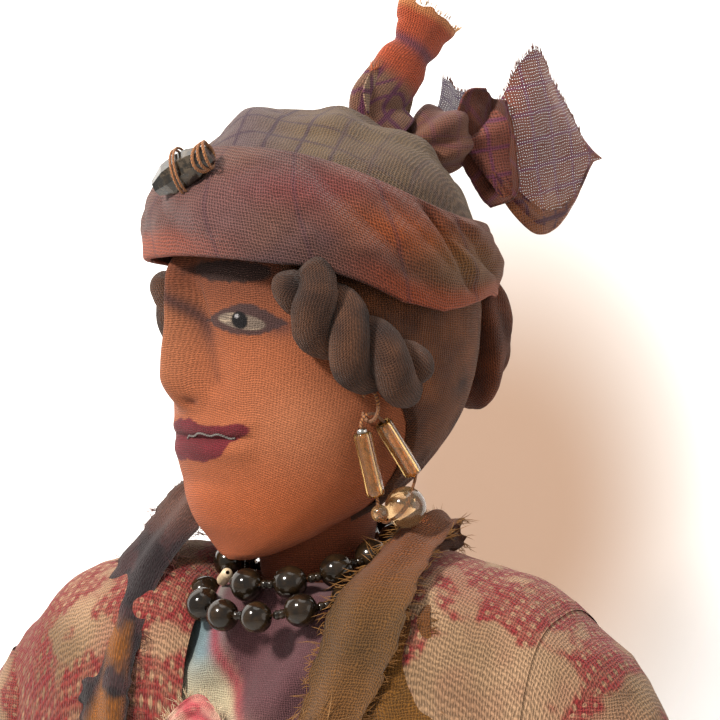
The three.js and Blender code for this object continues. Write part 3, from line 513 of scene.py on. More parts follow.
# ---- head ----------------------------------------------------------------------------------------
# Height over the chin, then the front, the back and the half width of the head there.
HEAD = smooth_table([
    [0, -19.5, -15.5, 3], [0.8, -20.2, -13, 6.5], [2, -20.8, -10, 9.5], [4, -22, -5, 13], [7, -24.2, 1.5, 16],
    [10, -25.6, 8, 18.4], [14, -27, 14.5, 20.8], [20, -28.2, 21.5, 23], [28, -28.8, 28, 24.8],
    [36, -29, 31.4, 25.4], [46, -29.2, 33, 25.6], [56, -28.8, 32.4, 25.2], [66, -26, 29.5, 23],
    [76, -18, 22, 17.5], [83, -8, 12, 10], [85.5, -3, 6, 4],
])
LOOK = (0.53, 0.848)  # across the near side of the face as the puppet is looked at, in the head's frame
EYE_Z = 45.7
PAINT_LIFT = 1.0  # how far the painted features lie above the heights they are given at
NOSE = smooth_table([
    [24, 0, 6], [29, 0.8, 6.5], [31.5, 3.2, 7.5], [35, 5.6, 7.6], [39, 5.8, 7], [46, 5.6, 4.6],
    [52, 5.2, 3.2],
    [57, 4.4, 3], [61, 2.6, 3], [68, 0, 3],
])


def head_shape(theta, z, grow=0.0):
    """The head's plain form: theta is 0 at the front and turns towards the puppet's left."""
    front, back, half = HEAD(z)
    middle = 0.45 * front + 0.55 * back
    c, s = np.cos(theta), np.sin(theta)
    reach = np.where(c > 0, middle - front + grow, back - middle + grow)
    return np.stack([(half + grow) * s, middle - c * reach, z + 0 * theta], -1)


def across_face(p):
    return LOOK[0] * np.abs(p[..., 0]) + LOOK[1] * p[..., 1]


def face_features(p, theta, z):
    """Moves points of the plain head out or in, for the nose, eyes, lips, cheeks and chin."""
    w = across_face(p)
    x = p[..., 0]
    high = z - PAINT_LIFT
    front = step(np.cos(theta), 0.05, 0.4)
    height, half = NOSE(z)
    away = np.abs(x) / half
    ridge = height * (0.5 + 0.5 * np.cos(np.pi * np.clip(away, 0, 1))) ** 0.9
    crease = -1.1 * bump(away, 1.2, 0.3) * step(z, 31, 36) * step(-z, -56, -50)
    eye = np.hypot((w + 14.4) / 9.5, (high - EYE_Z) / 5.0)
    socket = -1.7 * bump(eye, 0, 1.1) + 1.2 * bump(eye, 0, 0.55)
    brow = 0.9 * bump(high, 56.5, 3) * bump(w, -17, 9)
    cheek = 1.3 * bump(np.hypot((w + 4) / 11, (z - 30) / 11), 0, 1)
    lips = 1.1 * bump(high, 25.4, 1.9) + 1.1 * bump(high, 20.8, 2.2) - 0.7 * bump(high, 23.4, 0.6)
    mouth = step(x, -12, -4) * step(-w, 9.5, 14) * front * lips
    chin = 0.9 * bump(z, 10, 5) * bump(x, 0, 8) - 0.7 * bump(z, 15.5, 2) * bump(x, 0, 10)
    nostril = -1.1 * bump(np.hypot((np.abs(x) - 3.2) / 1.3, (z - 31.2) / 0.9), 0, 1)
    out = (socket + brow + cheek + mouth + chin + crease + nostril) * front + 0.5 * (cloudy(p, 9.0, 3) - 0.5)
    return p + out[..., None] * outward(theta) + np.stack([0 * z, -ridge * front, 0 * z], -1)


def inside(value, low, high, soft):
    return step(value, low - soft, low + soft) * (1 - step(value, high - soft, high + soft))


def face_tint(p, theta, z):
    """Dye and paint on the face cloth: skin, brows, eyes and lips; with painted shade (the wrap's brim over
    the forehead, the crease by the nose, the eye's outer corner, the nostrils) and painted highlights (cheek,
    nose ridge, eye glint).
    """
    w = across_face(p)
    ragged = (noise(p, 0.7, 5) - 0.5) * 0.9
    front = step(np.cos(theta), 0.0, 0.2)
    skin = lay_colours(
        even_tint(p, 172, 98, 62),
        (0.6 * step(-z, -26, -6), 200, 96, 42),
        (0.5 * cloudy(p, 14, 9), 150, 82, 52),
        # painted shadow of the wrap's brim over the forehead and eyes, with some darker tone of the cloth:
        # darker from z 38 up
        (0.75 * step(z, 38, 57), 104, 58, 42),
        # painted highlight on the cheek
        (0.55 * bump(np.hypot((w + 2) / 9, (z - 27) / 8), 0, 1), 200, 128, 90),
        # painted highlight along the nose's ridge
        (0.5 * bump(p[..., 0], 0, 5) * inside(z, 33, 52, 4), 164, 106, 74),
    )
    # painted shade in the nostrils
    nostril = bump(np.hypot((np.abs(p[..., 0]) - 3.2) / 1.1, (z - 31.2) / 0.7), 0, 1)
    z = z - PAINT_LIFT
    # painted shade in the crease between the nose and the cheek, along the carved crease
    crease_shade_at = np.interp(z, [33, 34.6, 38, 45.6, 51.6, 56], [-18.4, -18.8, -19.6, -22, -25.2, -26])
    fold = bump(w, crease_shade_at, 0.9) * inside(z, 34, 54, 2) * (0.35 + 0.65 * step(z, 38, 47))
    brow = np.hypot((w + 15.4 + ragged) / 8.2, (z - 55.4 + 0.05 * (w + 15) + ragged) / 2.3)
    # the painted crease shade, then the painted brows
    skin = lay_colours(skin, (0.8 * fold * front, 62, 44, 46),
               (0.92 * (1 - step(brow, 0.82, 1.08)) * front, 50, 36, 34))

    ew, ez = (w + 13.4) / 8.6, z - EYE_Z + 0.04 * (w + 14.2)
    lid = 3.6 * (1 - np.clip(np.abs(ew), 0, 1) ** 1.6)
    under = 2.6 * (1 - np.clip(np.abs(ew), 0, 1) ** 1.8)
    rim = step(lid - ez + 0.6 * ragged, -0.25, 0.35) * step(ez + under + 0.6 * ragged, -0.25, 0.35)
    # painted shade at the eye's outer corner
    corner = bump(np.hypot((w + 6) / 3.2, (z - EYE_Z + 1.2) / 1.6), 0, 1)
    iw, iz = w + 14.0, z - EYE_Z - 0.1 + 0.16 * (w + 14.0)
    white = (1 - step(np.hypot(iw / 4.9, iz / 1.55), 0.86, 1.04)) * front
    streaks = noise(np.stack([iw * 0.4, iz * 3, 0 * iw], -1), 1.0, 8)
    iris = 1 - step(np.hypot(iw + 0.3, iz - 0.2) / 1.75, 0.85, 1.05)
    # painted highlight: a glint on the iris
    painted_glint = 1 - step(np.hypot(iw + 0.9, iz - 0.9) / 0.42, 0.7, 1.1)
    skin = lay_colours(
        skin,
        (0.85 * rim * step(-np.abs(ew), -1.02, -0.98) * front, 58, 50, 54),
        (0.6 * corner * front, 70, 48, 50),
        (0.95 * white, 126, 110, 98),
        (0.8 * white * step(streaks, 0.5, 0.8), 190, 168, 144),
        (iris * front, 20, 17, 20),
        (0.9 * painted_glint * front, 190, 186, 188),
    )

    top = np.interp(w, [-27.2, -25, -23.6, -20.6, -17, -13.6, -11.6],
                    [27.8, 26.6, 27.2, 25.8, 25.8, 26.4, 25.6])
    low = np.interp(w, [-27, -25.2, -23.6, -21, -17, -15.4, -11.6],
                    [20.4, 20.0, 18.8, 18.4, 19.8, 22.6, 24.4])
    lips = step(top - z + 0.5 * ragged, -0.15, 0.3) * step(z - low + 0.5 * ragged, -0.15, 0.3)
    lips = lips * step(-w, 11.3, 12.0) * front
    lip_tone = lay_colours(even_tint(p, 84, 14, 30), (cloudy(p, 2.2, 4), 118, 28, 46))
    skin = skin + (0.94 * lips)[..., None] * (lip_tone - skin)
    # the painted nostril shade is laid last
    return np.clip(lay_colours(skin, (0.6 * nostril * front, 92, 44, 34)), 0, 1)


def mouth_line():
    """Where the thread along the mouth lies, a little proud of the lips."""
    search = np.linspace(0, 1.2, 400)
    path, turned = [], -1.0
    for w in np.linspace(-26.4, -14.6, 40):
        z = 23.5 + PAINT_LIFT + 0.5 * math.cos((w + 20) / 3.0) + 0.25 * math.sin(w * 1.7)
        options = head_shape(search, z + 0 * search)
        hit = np.argmin(np.abs(across_face(options) - max(w, across_face(options[0]))))
        if search[hit] <= turned:
            continue
        turned = search[hit]
        spot = face_features(options[hit][None], np.array([turned]), np.array([z]))[0]
        path.append(spot + 0.25 * outward(turned))
    return np.array(path)


def build_face():
    theta, z = np.meshgrid(np.linspace(-math.pi, math.pi, 521),
                           np.concatenate([np.linspace(0, 62, 330), np.linspace(62.5, 73, 24)]))
    plain_form = head_shape(theta, z)
    tint = face_tint(plain_form, theta, z)
    head = face_features(plain_form, theta, z)
    head = np.concatenate([pole(head[0]), head])
    uv = arc_uv(head)
    uv[..., 0] = theta[0] * 25.0
    turn, neck_z = np.meshgrid(np.linspace(-math.pi, math.pi, 61), np.linspace(-31.5, 12, 30))
    neck = (10.4 + 2.2 * step(neck_z, -8, 10))[..., None] * outward(turn)
    neck[..., 2] = neck_z
    points, faces = strand_mesh([head, neck])
    # the neck is the face's knit painted darker, as painted shade under the jaw
    neck_shaded_tint = even_tint(neck, 136, 70, 42).reshape(-1, 3)
    face = mesh_piece(
        "face", head_frame(points), faces, "face", "rod_and_head",
        uv=np.concatenate([uv.reshape(-1, 2), strand_uv([neck])]),
        tint=np.concatenate([tint[0], tint.reshape(-1, 3), neck_shaded_tint]), stands_for=["face_cover"],
    )
    theta, z = np.meshgrid(theta[0], np.linspace(3, 84.5, 60))
    core = head_shape(theta, z, -2.8)
    core = np.concatenate([pole(core[0]), core, pole(core[-1])])
    head_grid("head_core_block", core, "carved", stands_for=["head_core"])
    head_grid("lip_thread", tube_surface(mouth_line(), 0.2, 8), "grey_thread")


# The middle line of the left twist of hair, given point by point.
TWIST_SPINE = [
    [24.6, -18.8, 57], [25.6, -16, 51.5], [27.4, -12.2, 46], [29.4, -7.2, 41], [31.2, -1, 37.5],
    [31.8, 4.5, 35],
]


def hair_tint(p, seed, low=(42, 28, 24), high=(110, 72, 50)):
    return lay_colours(even_tint(p, *low), (1.5 * cloudy(p, 6, seed) - 0.25, *high))


def build_hair():
    z = np.linspace(2.5, 62, 110)[:, None]
    edge = np.interp(z, [0, 8, 15, 27, 40, 50, 57, 62], [2.7, 2.35, 2.0, 1.72, 1.3, 1.0, 0.8, 0.7])
    share = np.linspace(0, 1, 181)[None, :]
    theta = edge + share * (TAU - 2 * edge)
    z = z + 0 * theta
    tuck = np.minimum(1, np.minimum(share, 1 - share) * 60)
    cap = head_shape(theta, z, 0.3 + 1.5 * tuck)
    ribs = 0.45 * np.sin(26 * theta + 2 * np.sin(z / 9)) * step(-z, -26, -8)
    cap = cap + (ribs + 0.7 * (cloudy(cap, 6, 21) - 0.5))[..., None] * outward(theta)
    cap_piece = head_grid("hair_cap_cloth", cap, "hair", tint=hair_tint(cap, 2, (58, 32, 20), (128, 74, 40)),
                          stands_for=["hair_cap"])
    for side, label in SIDES:
        build_twist(side, label)

    centre = np.array([-1.0, 37.0, 43.0])
    around, polar = np.meshgrid(np.linspace(0, TAU, 91), np.linspace(0, math.pi, 61))
    groove = 0.12 * bump(np.cos(around - 2.2 * polar), 1, 0.18) * np.sin(polar)
    radial = 1 + 0.07 * np.cos(2 * around + 5 * polar) - groove
    ring = radial * np.sin(polar)
    bun = [13.2 * ring * np.sin(around), 7.6 * radial * np.cos(polar), 15.2 * ring * np.cos(around)]
    bun = centre + np.stack(bun, -1)
    bun = bun + 0.6 * (cloudy(bun, 5, 4) - 0.5)[..., None]
    bun_piece = head_grid("hair_bun_cloth", bun, "hair", tint=hair_tint(bun, 8, (58, 28, 15), (124, 64, 34)),
                          stands_for=["hair_bun"])


def build_twist(side, label):
    """Two stuffed plies twisted about each other, from the temple to the ear."""
    count = 120
    spine = curve_through(np.array(TWIST_SPINE) * [side, 1, 1], count)
    ring = tube_surface(spine, 1.0, 4)
    normal, other = ring[:, 0] - spine, ring[:, 1] - spine
    share = np.linspace(0, 1, count)
    lay = 3.5 * np.minimum(1, 0.35 + 3 * np.minimum(share, 1 - share))[:, None]
    for ply, phase in (("a", 0.7), ("b", 0.7 + math.pi)):
        turn = (phase + TAU * 1.75 * share)[:, None] * side
        path = spine + lay * (np.cos(turn) * normal + np.sin(turn) * other)
        surface = tube_surface(path, 4.1 * rounded(count, 0.09) * (1 + 0.05 * np.sin(9 * share + phase)), 40)
        surface = surface + 0.5 * (cloudy(surface, 3.5, 11) - 0.5)[..., None]
        piece = head_grid(f"hair_twist_cloth_{label}_{ply}", surface, "hair", tint=hair_tint(surface, 6),
                          stands_for=[f"hair_twist_{label}_{ply}"])


# ---- head wrap -----------------------------------------------------------------------------------
# Level, front, back and half width of the wrap; the level's height drops towards the nape.
WRAP = smooth_table([
    [52, -34.8, 38.2, 30.8], [56, -35.2, 38.6, 31.4], [62, -35, 38.4, 31.4], [68, -33.2, 36.8, 30.2],
    [75, -28, 33.5, 26.8], [81, -21.5, 29, 20.5], [86, -14, 21, 12.5], [87.6, -8, 14, 6],
])
RIM_DROP = 0.11
# The band's lower edge: degrees from the front, and its level there.
RIM_AT = [0, 35, 60, 75, 90, 106, 135, 180]
RIM_LEVEL = [55.9, 56.4, 56.2, 54, 51.2, 50.9, 55.6, 56]


def wrap_shape(theta, level, grow=0.0):
    front, back, half = WRAP(level)
    middle, reach = (front + back) / 2, (back - front) / 2 + grow
    y = middle - np.cos(theta) * reach
    return np.stack([(half + grow) * np.sin(theta), y, level - RIM_DROP * y], -1)


def out_of_head(theta, level):
    lift = 0.15 + 0.85 * step(level, 66, 88)
    flat = np.sqrt(np.clip(1 - lift**2, 0, 1))
    return flat[..., None] * outward(theta) + lift[..., None] * [0, 0, 1]


def stripes(u, v, spacing, width):
    du = np.abs((u / spacing + 0.5) % 1 - 0.5) * spacing
    dv = np.abs((v / spacing + 0.5) % 1 - 0.5) * spacing
    return np.maximum(1 - step(du, width * 0.4, width), 1 - step(dv, width * 0.4, width))


def across_look(p):
    """How far to the right a point of the head lies, as the puppet is looked at."""
    return LOOK[0] * p[..., 0] + LOOK[1] * p[..., 1]


def build_crown():
    theta, level = np.meshgrid(np.linspace(-math.pi, math.pi, 361), np.linspace(56, 87.6, 120))
    above_band = step(level, 69, 79)
    crown = wrap_shape(theta, level, 1.4 * above_band - 2.6)
    x, y, z = (crown[..., k] for k in range(3))
    u = across_look(crown)
    puff = 1.8 * bump(u, -12, 4.5) * bump(z, 86, 6) + 2.2 * bump(u, 6, 6) * bump(z, 88, 7)
    folds = 0.8 * np.sin(9 * np.arctan2(x, 30 - y) + 1.5 * np.sin(z / 6)) * step(y, -22, 12)
    swell = above_band * (puff + folds + 1.6 * (cloudy(crown, 8, 12) - 0.5))
    crown = crown + swell[..., None] * out_of_head(theta, level)
    x, y, z = (crown[..., k] for k in range(3))
    uv = np.stack([x * 0.8 + y * 0.6, y * 0.75 - x * 0.6 + z * 0.7], -1)
    lines = stripes(uv[..., 0] + 1.2, uv[..., 1], 6.4, 0.5) * (0.35 + 0.65 * step(-u, -14, 2))
    tint = lay_colours(
        even_tint(crown, 106, 84, 60),
        (1.4 * cloudy(crown, 13, 14) - 0.35, 92, 68, 62),
        (0.8 * bump(u, -14, 7), 98, 80, 84),
        (0.75 * lines, 58, 34, 56),
    )
    crown = np.concatenate([crown, pole(crown[-1]) + [0, 0, 0.5]])
    uv, tint = np.concatenate([uv, uv[-1:]]), np.concatenate([tint, tint[-1:]])
    piece = head_grid("wrap_crown_cloth", crown, "wrap", tint=tint, uv=uv, stands_for=["wrap_crown"])
    return piece


def band_section(share, theta, rim, top):
    """The band's line at a share of its width: from inside the rim, round it, and up to a folded edge."""
    if share < 0.12:
        t = share / 0.12
        return wrap_shape(theta, rim + 4 * (1 - t), -1.9 + 0.3 * t)
    if share < 0.2:
        t = (share - 0.12) / 0.08 * math.pi
        return wrap_shape(theta, rim - 0.75 * math.sin(t), -0.8 - 0.8 * math.cos(t))
    if share < 0.94:
        t = (share - 0.2) / 0.74
        return wrap_shape(theta, rim + t * (top - rim), 0.35 * math.sin(math.pi * t))
    t = (share - 0.94) / 0.06 * math.pi
    return wrap_shape(theta, top + 0.35 * math.sin(t), -0.45 * (1 - math.cos(t)))


def build_band(crown_piece):
    theta, shares = np.linspace(-math.pi, math.pi, 541), np.linspace(0, 1, 90)
    top = 69.5 + 7.5 * step(np.cos(theta - 0.25), -0.3, 0.95) + 0.8 * np.sin(2 * theta + 1)
    rim = np.interp(np.abs(np.degrees(theta)), RIM_AT, RIM_LEVEL) + 0.3 * np.sin(theta * 5 + 0.8)
    band = np.array([band_section(share, theta, rim, top) for share in shares])
    turn, share = np.meshgrid(theta, shares)
    middle = step(share, 0.2, 0.4) * (1 - step(share, 0.85, 0.97))
    slant = 0.9 * np.abs(np.sin(4.2 * turn + 5.5 * share + 0.4)) ** 0.7
    slant = slant + 0.5 * np.abs(np.sin(7 * turn + 9 * share + 1.3))
    drape = 1.3 * slant - 0.9 + 1.9 * (cloudy(band, 8, 5) - 0.5)
    for depth, lean, at in ((1.5, 0.55, 2.25), (1.0, 0.9, 2.75), (0.8, -0.5, -2.4)):
        drape = drape - depth * bump(turn + lean * share, at, 0.05)
    band = band + (drape * middle)[..., None] * (outward(turn) + [0, 0, 0.3])
    uv = np.stack([turn * 31 + 8 * share, share * 24 + 2.5 * turn], -1)
    u, z = across_look(band), band[..., 2]
    tint = lay_colours(
        even_tint(band, 104, 70, 60),
        (1.7 * cloudy(band, 9, 31) - 0.5, 82, 58, 62),
        (0.7 * step(u, -2, 26), 108, 56, 36),
        (0.6 * bump(u, 0, 16) * bump(z, 72, 4), 118, 50, 50),
        (0.9 * bump(np.hypot((u - 20) / 14, (z - 63 + 0.25 * (u - 20)) / 4.5), 0, 1), 146, 68, 24),
        (0.8 * (1 - step(share, 0.26, 0.4)) * step(np.abs(u + 4), 5, 26), 160, 70, 36),
        (0.5 * bump(np.hypot((u - 30) / 9, (z - 58) / 6), 0, 1), 112, 92, 52),
        (0.7 * bump(u, -20, 9) * bump(z, 66, 9), 118, 80, 76),
        (0.35 * stripes(uv[..., 0], 0 * uv[..., 1] + 3, 17, 0.6), 62, 36, 54),
    )
    piece = head_grid("wrap_band_cloth", band, "wrap", tint=tint, uv=uv, stands_for=["wrap_band"])


def gauze_tint(surface, uv, base, alt, lines, seed=0, spacing=6.0, width=0.7, line=(96, 44, 76)):
    plaid = lines * stripes(uv[..., 0], uv[..., 1], spacing, width)
    return lay_colours(even_tint(surface, *base), (1.8 * cloudy(surface, 9, seed) - 0.4, *alt), (plaid, *line))


def fringe(surface, edge, count, length, spread=0.5, lead=2):
    """Loose threads that run on past one edge of a grid of points."""
    rows = {"low": (surface[0], surface[lead]), "high": (surface[-1], surface[-1 - lead]),
            "left": (surface[:, 0], surface[:, lead]), "right": (surface[:, -1], surface[:, -1 - lead])}
    ends, before = rows[edge]
    out = ends - before
    out /= np.linalg.norm(out, axis=1)[:, None] + 1e-9
    paths = []
    for at in RNG.uniform(0, len(ends) - 1.001, count):
        i, f = int(at), at % 1
        start = ends[i] * (1 - f) + ends[i + 1] * f
        way = out[i] + RNG.normal(0, spread * 0.4, 3)
        bend = RNG.normal(0, spread, 3)
        reach = length * RNG.uniform(0.35, 1.0)
        paths.append([start + way * reach * t + bend * reach * t * t * 0.5 for t in (-0.25, 0.25, 0.6, 1.0)])
    return paths


def head_fray(name, surface, edge, count, length, spread, material):
    """Frayed threads along the edge of a piece of the head."""
    points, faces = threads(fringe(surface, edge, count, length, spread), 0.09)
    return mesh_piece(name, head_frame(points), faces, material, "rod_and_head")


def torso_fray(name, paths, material, radius=0.07, **options):
    return mesh_piece(name, *threads(paths, radius), material, "torso", **options)


def sheet_grid(left, right, count, folds=0.0, waves=3.0, phase=0.0, bulge=0.0, across=40):
    """A sheet between two edge curves, with folds that run along it and a bulge to one side."""
    a, b = curve_through(left, count), curve_through(right, count)
    share = np.linspace(0, 1, across)[None, :, None]
    surface = a[:, None] * (1 - share) + b[:, None] * share
    along = np.gradient(surface, axis=0)
    side = np.gradient(surface, axis=1)
    normal = np.cross(along, side)
    normal /= np.linalg.norm(normal, axis=2, keepdims=True) + 1e-9
    lift = folds * np.sin(waves * TAU * share[..., 0] + phase + np.linspace(0, 1.5, count)[:, None])
    lift = lift + bulge * np.sin(np.pi * share[..., 0])
    return surface + lift[..., None] * normal


def build_knot():
    """The knot, and the thick fold of the same cloth that stands beside it."""
    around, polar = np.meshgrid(np.linspace(0, TAU, 121), np.linspace(0, math.pi, 81))
    ring = np.sin(polar)
    ridges = 1 + 0.13 * np.sin(5 * around + 3.0 * polar) * ring
    ridges = ridges - 0.1 * bump(np.sin(around * 2 + polar * 2), 1, 0.3)
    knot = [8.4 * ridges * ring * np.cos(around), 7.8 * ridges * np.cos(polar),
            6.8 * ridges * ring * np.sin(around)]
    knot = np.array([0.0, 29.0, 84.0]) + np.stack(knot, -1)
    uv = np.stack([around * 7, polar * 8], -1)
    tint = gauze_tint(knot, uv, (128, 84, 62), (92, 54, 48), 0.3, 5)
    knot_piece = head_grid("wrap_knot_cloth", knot, "loop", tint=tint, uv=uv, stands_for=["wrap_knot"])

    leaf = sheet_grid([[4, 31, 80], [6, 30, 88], [7, 33, 94], [7.5, 37, 94.5]],
                      [[6.5, 38, 70], [8.5, 42.5, 72], [9, 42.5, 82], [8.5, 40.5, 92]],
                      90, 0.9, 1.3, 0.6, 3.4, 70)
    leaf = leaf + 1.2 * (cloudy(leaf, 4, 15) - 0.5)[..., None] * [1, 0.3, 0.3]
    uv = arc_uv(leaf)
    tint = gauze_tint(leaf, uv, (112, 56, 34), (74, 38, 28), 0.35, 7)
    leaf_piece = head_grid("wrap_fold_cloth", leaf, "loop", tint=tint, uv=uv, thick=0.5)

    return knot_piece


def build_rolled_end():
    """A cone of cloth that stands up and flares at its frayed tip, and a fold turned down before it."""
    roll_path = curve_through([[1, 18, 84], [0.6, 13.5, 89.5], [1, 17.5, 95.5], [1.6, 22, 102],
                               [2, 25.5, 109]], 80)
    t = np.linspace(0, 1, 80)
    wide = 5.8 - 0.4 * t + 1.6 * step(t, 0.86, 1.0) - 1.2 * bump(t, 0.72, 0.06)
    deep = 2.6 + 0.9 * step(t, 0.8, 1.0)
    angle = np.linspace(0, TAU * 1.18, 90)
    tangent = np.gradient(roll_path, axis=0)
    tangent /= np.linalg.norm(tangent, axis=1)[:, None]
    side = np.cross(tangent, [1.0, 0.1, 0.0])
    side /= np.linalg.norm(side, axis=1)[:, None]
    other = np.cross(tangent, side)
    spiral = 1 + 0.12 * angle / TAU
    roll = roll_path[:, None] + spiral[None, :, None] * (
        wide[:, None, None] * np.cos(angle)[None, :, None] * side[:, None]
        + deep[:, None, None] * np.sin(angle)[None, :, None] * other[:, None])
    roll = roll + 0.7 * (cloudy(roll, 4, 18) - 0.5)[..., None]
    roll[-1] = roll[-1] + 1.2 * (noise(roll[-1], 2.2, 3) - 0.3)[:, None] * tangent[-1]
    uv = arc_uv(roll)
    tt = t[:, None] + 0 * angle
    tint = gauze_tint(roll, uv, (140, 108, 88), (118, 78, 62), 0.9 * (1 - step(tt, 0.45, 0.6)), 9, 5.0)
    tint = lay_colours(
        tint,
        (step(tt, 0.42, 0.58) * 0.95, 178, 78, 46),
        (0.85 * bump(tt, 0.74, 0.045), 104, 60, 76),
        (0.8 * step(tt, 0.93, 1.0), 206, 140, 88),
    )
    rolled = head_grid("wrap_end_rolled_cloth", roll, "wrap", tint=tint, uv=uv,
                       stands_for=["wrap_end_rolled"])
    rolled_fray = head_fray("wrap_end_rolled_fray", roll, "high", 150, 2.0, 0.35, "pale_fray")

    fold = sheet_grid([[4, 10, 88.5], [4.5, 9, 93], [3.5, 11, 97]],
                      [[0, 22, 88], [1, 22.5, 93], [3, 20, 98.5]], 40, 0.4, 1.5, 0.5, 1.2)
    uv = arc_uv(fold)
    tint = gauze_tint(fold, uv, (158, 130, 106), (128, 96, 78), 0.9, 11, 4.5)
    share = np.linspace(0, 1, 40)[:, None] + 0 * uv[..., 0]
    tint = lay_colours(tint, (0.8 * step(share, 0.75, 1.0), 128, 84, 52))
    small_fold = head_grid("wrap_end_fold_cloth", fold, "wrap", tint=tint, uv=uv, thick=0.35)
    fold_fray = head_fray("wrap_end_fold_fray", fold, "high", 60, 2.4, 0.5, "rust_fray")


def build_fan():
    """The open fan, and the folded hem along its foot."""
    stem = [3.5, 33, 83]
    top_edge = [stem, [6, 41, 92], [5.5, 47, 100.5], [3, 53, 103.5], [-1, 60, 98], [-5, 68.5, 89],
                [-7.5, 74, 82.5]]
    low_edge = [stem, [6, 39.5, 74], [6.5, 44, 68.5], [5, 50, 65], [1, 58, 66], [-3.5, 66, 72],
                [-7, 73, 80.5]]
    fan = sheet_grid(low_edge, top_edge, 110, 0.7, 1.6, 0.4, 2.4, 110)
    fan = fan + 1.4 * (cloudy(fan, 9, 24) - 0.5)[..., None] * [1, 0.2, 0.1]
    uv = np.stack([fan[..., 1] * 0.98 + fan[..., 2] * 0.2 + 0.4 * fan[..., 0],
                   fan[..., 2] * 0.98 - fan[..., 1] * 0.2], -1)
    tint = gauze_tint(fan, uv, (122, 70, 56), (98, 50, 42), 0.75, 27, 5.6, 0.55)
    tint = lay_colours(tint, (0.8 * (1 - step(fan[..., 2], 68, 76)), 128, 76, 40))
    fan_piece = head_grid("wrap_end_fan_cloth", fan, "tail", tint=tint, uv=uv, stands_for=["wrap_end_fan"])
    fan_fray = head_fray("wrap_end_fan_fray", fan, "right", 190, 1.7, 0.25, "plum_fray")
    hem_edge = [[x + 1.4, y + 0.3, z + 5.4 * math.sin(math.pi * min(i + 0.6, 6) / 6.6)]
                for i, (x, y, z) in enumerate(low_edge)]
    hem = sheet_grid(low_edge, hem_edge, 100, 0.15, 2.0, 0.0, 0.5, 36)
    uv_hem = np.stack([hem[..., 1] + 0.3 * hem[..., 2], hem[..., 2] - 0.2 * hem[..., 1]], -1)
    tint = gauze_tint(hem, uv_hem, (128, 78, 50), (104, 48, 34), 0.9, 29, 5.2, 0.7, (70, 28, 48))
    hem_piece = head_grid("wrap_end_fan_hem", hem, "wrap", tint=tint, uv=uv_hem)


def build_short_end():
    short = sheet_grid([[-4, 30, 86], [-7, 35, 93.5], [-9, 37, 98]],
                       [[-5, 36, 84], [-9, 42, 90], [-12, 45, 95]], 50, 0.4, 1.4, 0.2, 0.8, 50)
    uv_short = arc_uv(short)
    tint = gauze_tint(short, uv_short, (150, 142, 148), (124, 112, 128), 0.6, 31, 3.4, 0.5, (88, 66, 104))
    short_piece = head_grid("wrap_end_short_cloth", short, "tail", tint=tint, uv=uv_short,
                            stands_for=["wrap_end_short"])
    short_fray = head_fray("wrap_end_short_fray", short, "high", 60, 1.4, 0.3, "plum_fray")


# ---- jewellery -----------------------------------------------------------------------------------
EAR = np.array([26.9, -4.0, 27.7])
EAR_TILT = math.radians(26)
EAR_RING_R = 3.0
STONE_AT = np.array([5.8, -32.9, 75.6])
STONE_ALONG = np.array([0.72, 0.49, 0.49])


def turned_surface(profile, start, end, sides=40):
    """A surface of revolution from start to end; the profile gives (radius, share along) pairs."""
    start, end = np.array(start, float), np.array(end, float)
    axis = (end - start) / np.linalg.norm(end - start)
    side = np.cross(axis, [0.9, 0.2, 0.31])
    side /= np.linalg.norm(side)
    other = np.cross(axis, side)
    around = np.linspace(0, TAU, sides + 1)[None, :, None]
    radius, share = (np.array(c, float)[:, None, None] for c in zip(*profile))
    return start + (end - start) * share + radius * (np.cos(around) * side + np.sin(around) * other)


def build_stone():
    profile = [(0.3, 0), (1.9, 0.0), (2.2, 0.05), (3.4, 0.27), (3.6, 0.5), (3.4, 0.73), (2.1, 0.95),
               (1.8, 1), (0.3, 1)]
    along = STONE_ALONG / np.linalg.norm(STONE_ALONG)
    stone = turned_surface(profile, STONE_AT - 6.6 * along, STONE_AT + 6.6 * along, 8)
    stone = STONE_AT + (stone - STONE_AT) * (1 + 0.16 * (noise(stone, 4, 2) - 0.5)[..., None])
    head_grid("stone_bead", stone, "stone", stands_for=["forehead_stone"], smooth=False)
    down = np.array([0.1, 0.3, -0.95])
    out = np.cross(along, down)
    loops = []
    for shift, lean in ((5.8, 0.2), (6.4, -0.15), (5.2, 0.5)):
        at = STONE_AT + shift * along + 0.4 * out
        loops.append(ring_surface(at - 1.2 * out, 2.6, out + lean * along, down, 0.32))
    for shift in (-0.6, 0.2):
        loops.append(ring_surface(STONE_AT + shift * along, 4.5, out, down, 0.26))
    points, faces = strand_mesh(loops)
    uv = strand_uv(loops)
    mesh_piece("stone_thread_loops", head_frame(points), faces, "thread", "rod_and_head", uv=uv,
               stands_for=["stone_thread"])


def ear_frame(side):
    c, s = math.cos(EAR_TILT), math.sin(EAR_TILT)

    def place(p):
        x, y, z = p[..., 0], p[..., 1], p[..., 2]
        leaned = np.stack([x, c * y - s * z, s * y + c * z], -1)
        return head_frame(leaned + EAR * [side, 1, 1])

    return place


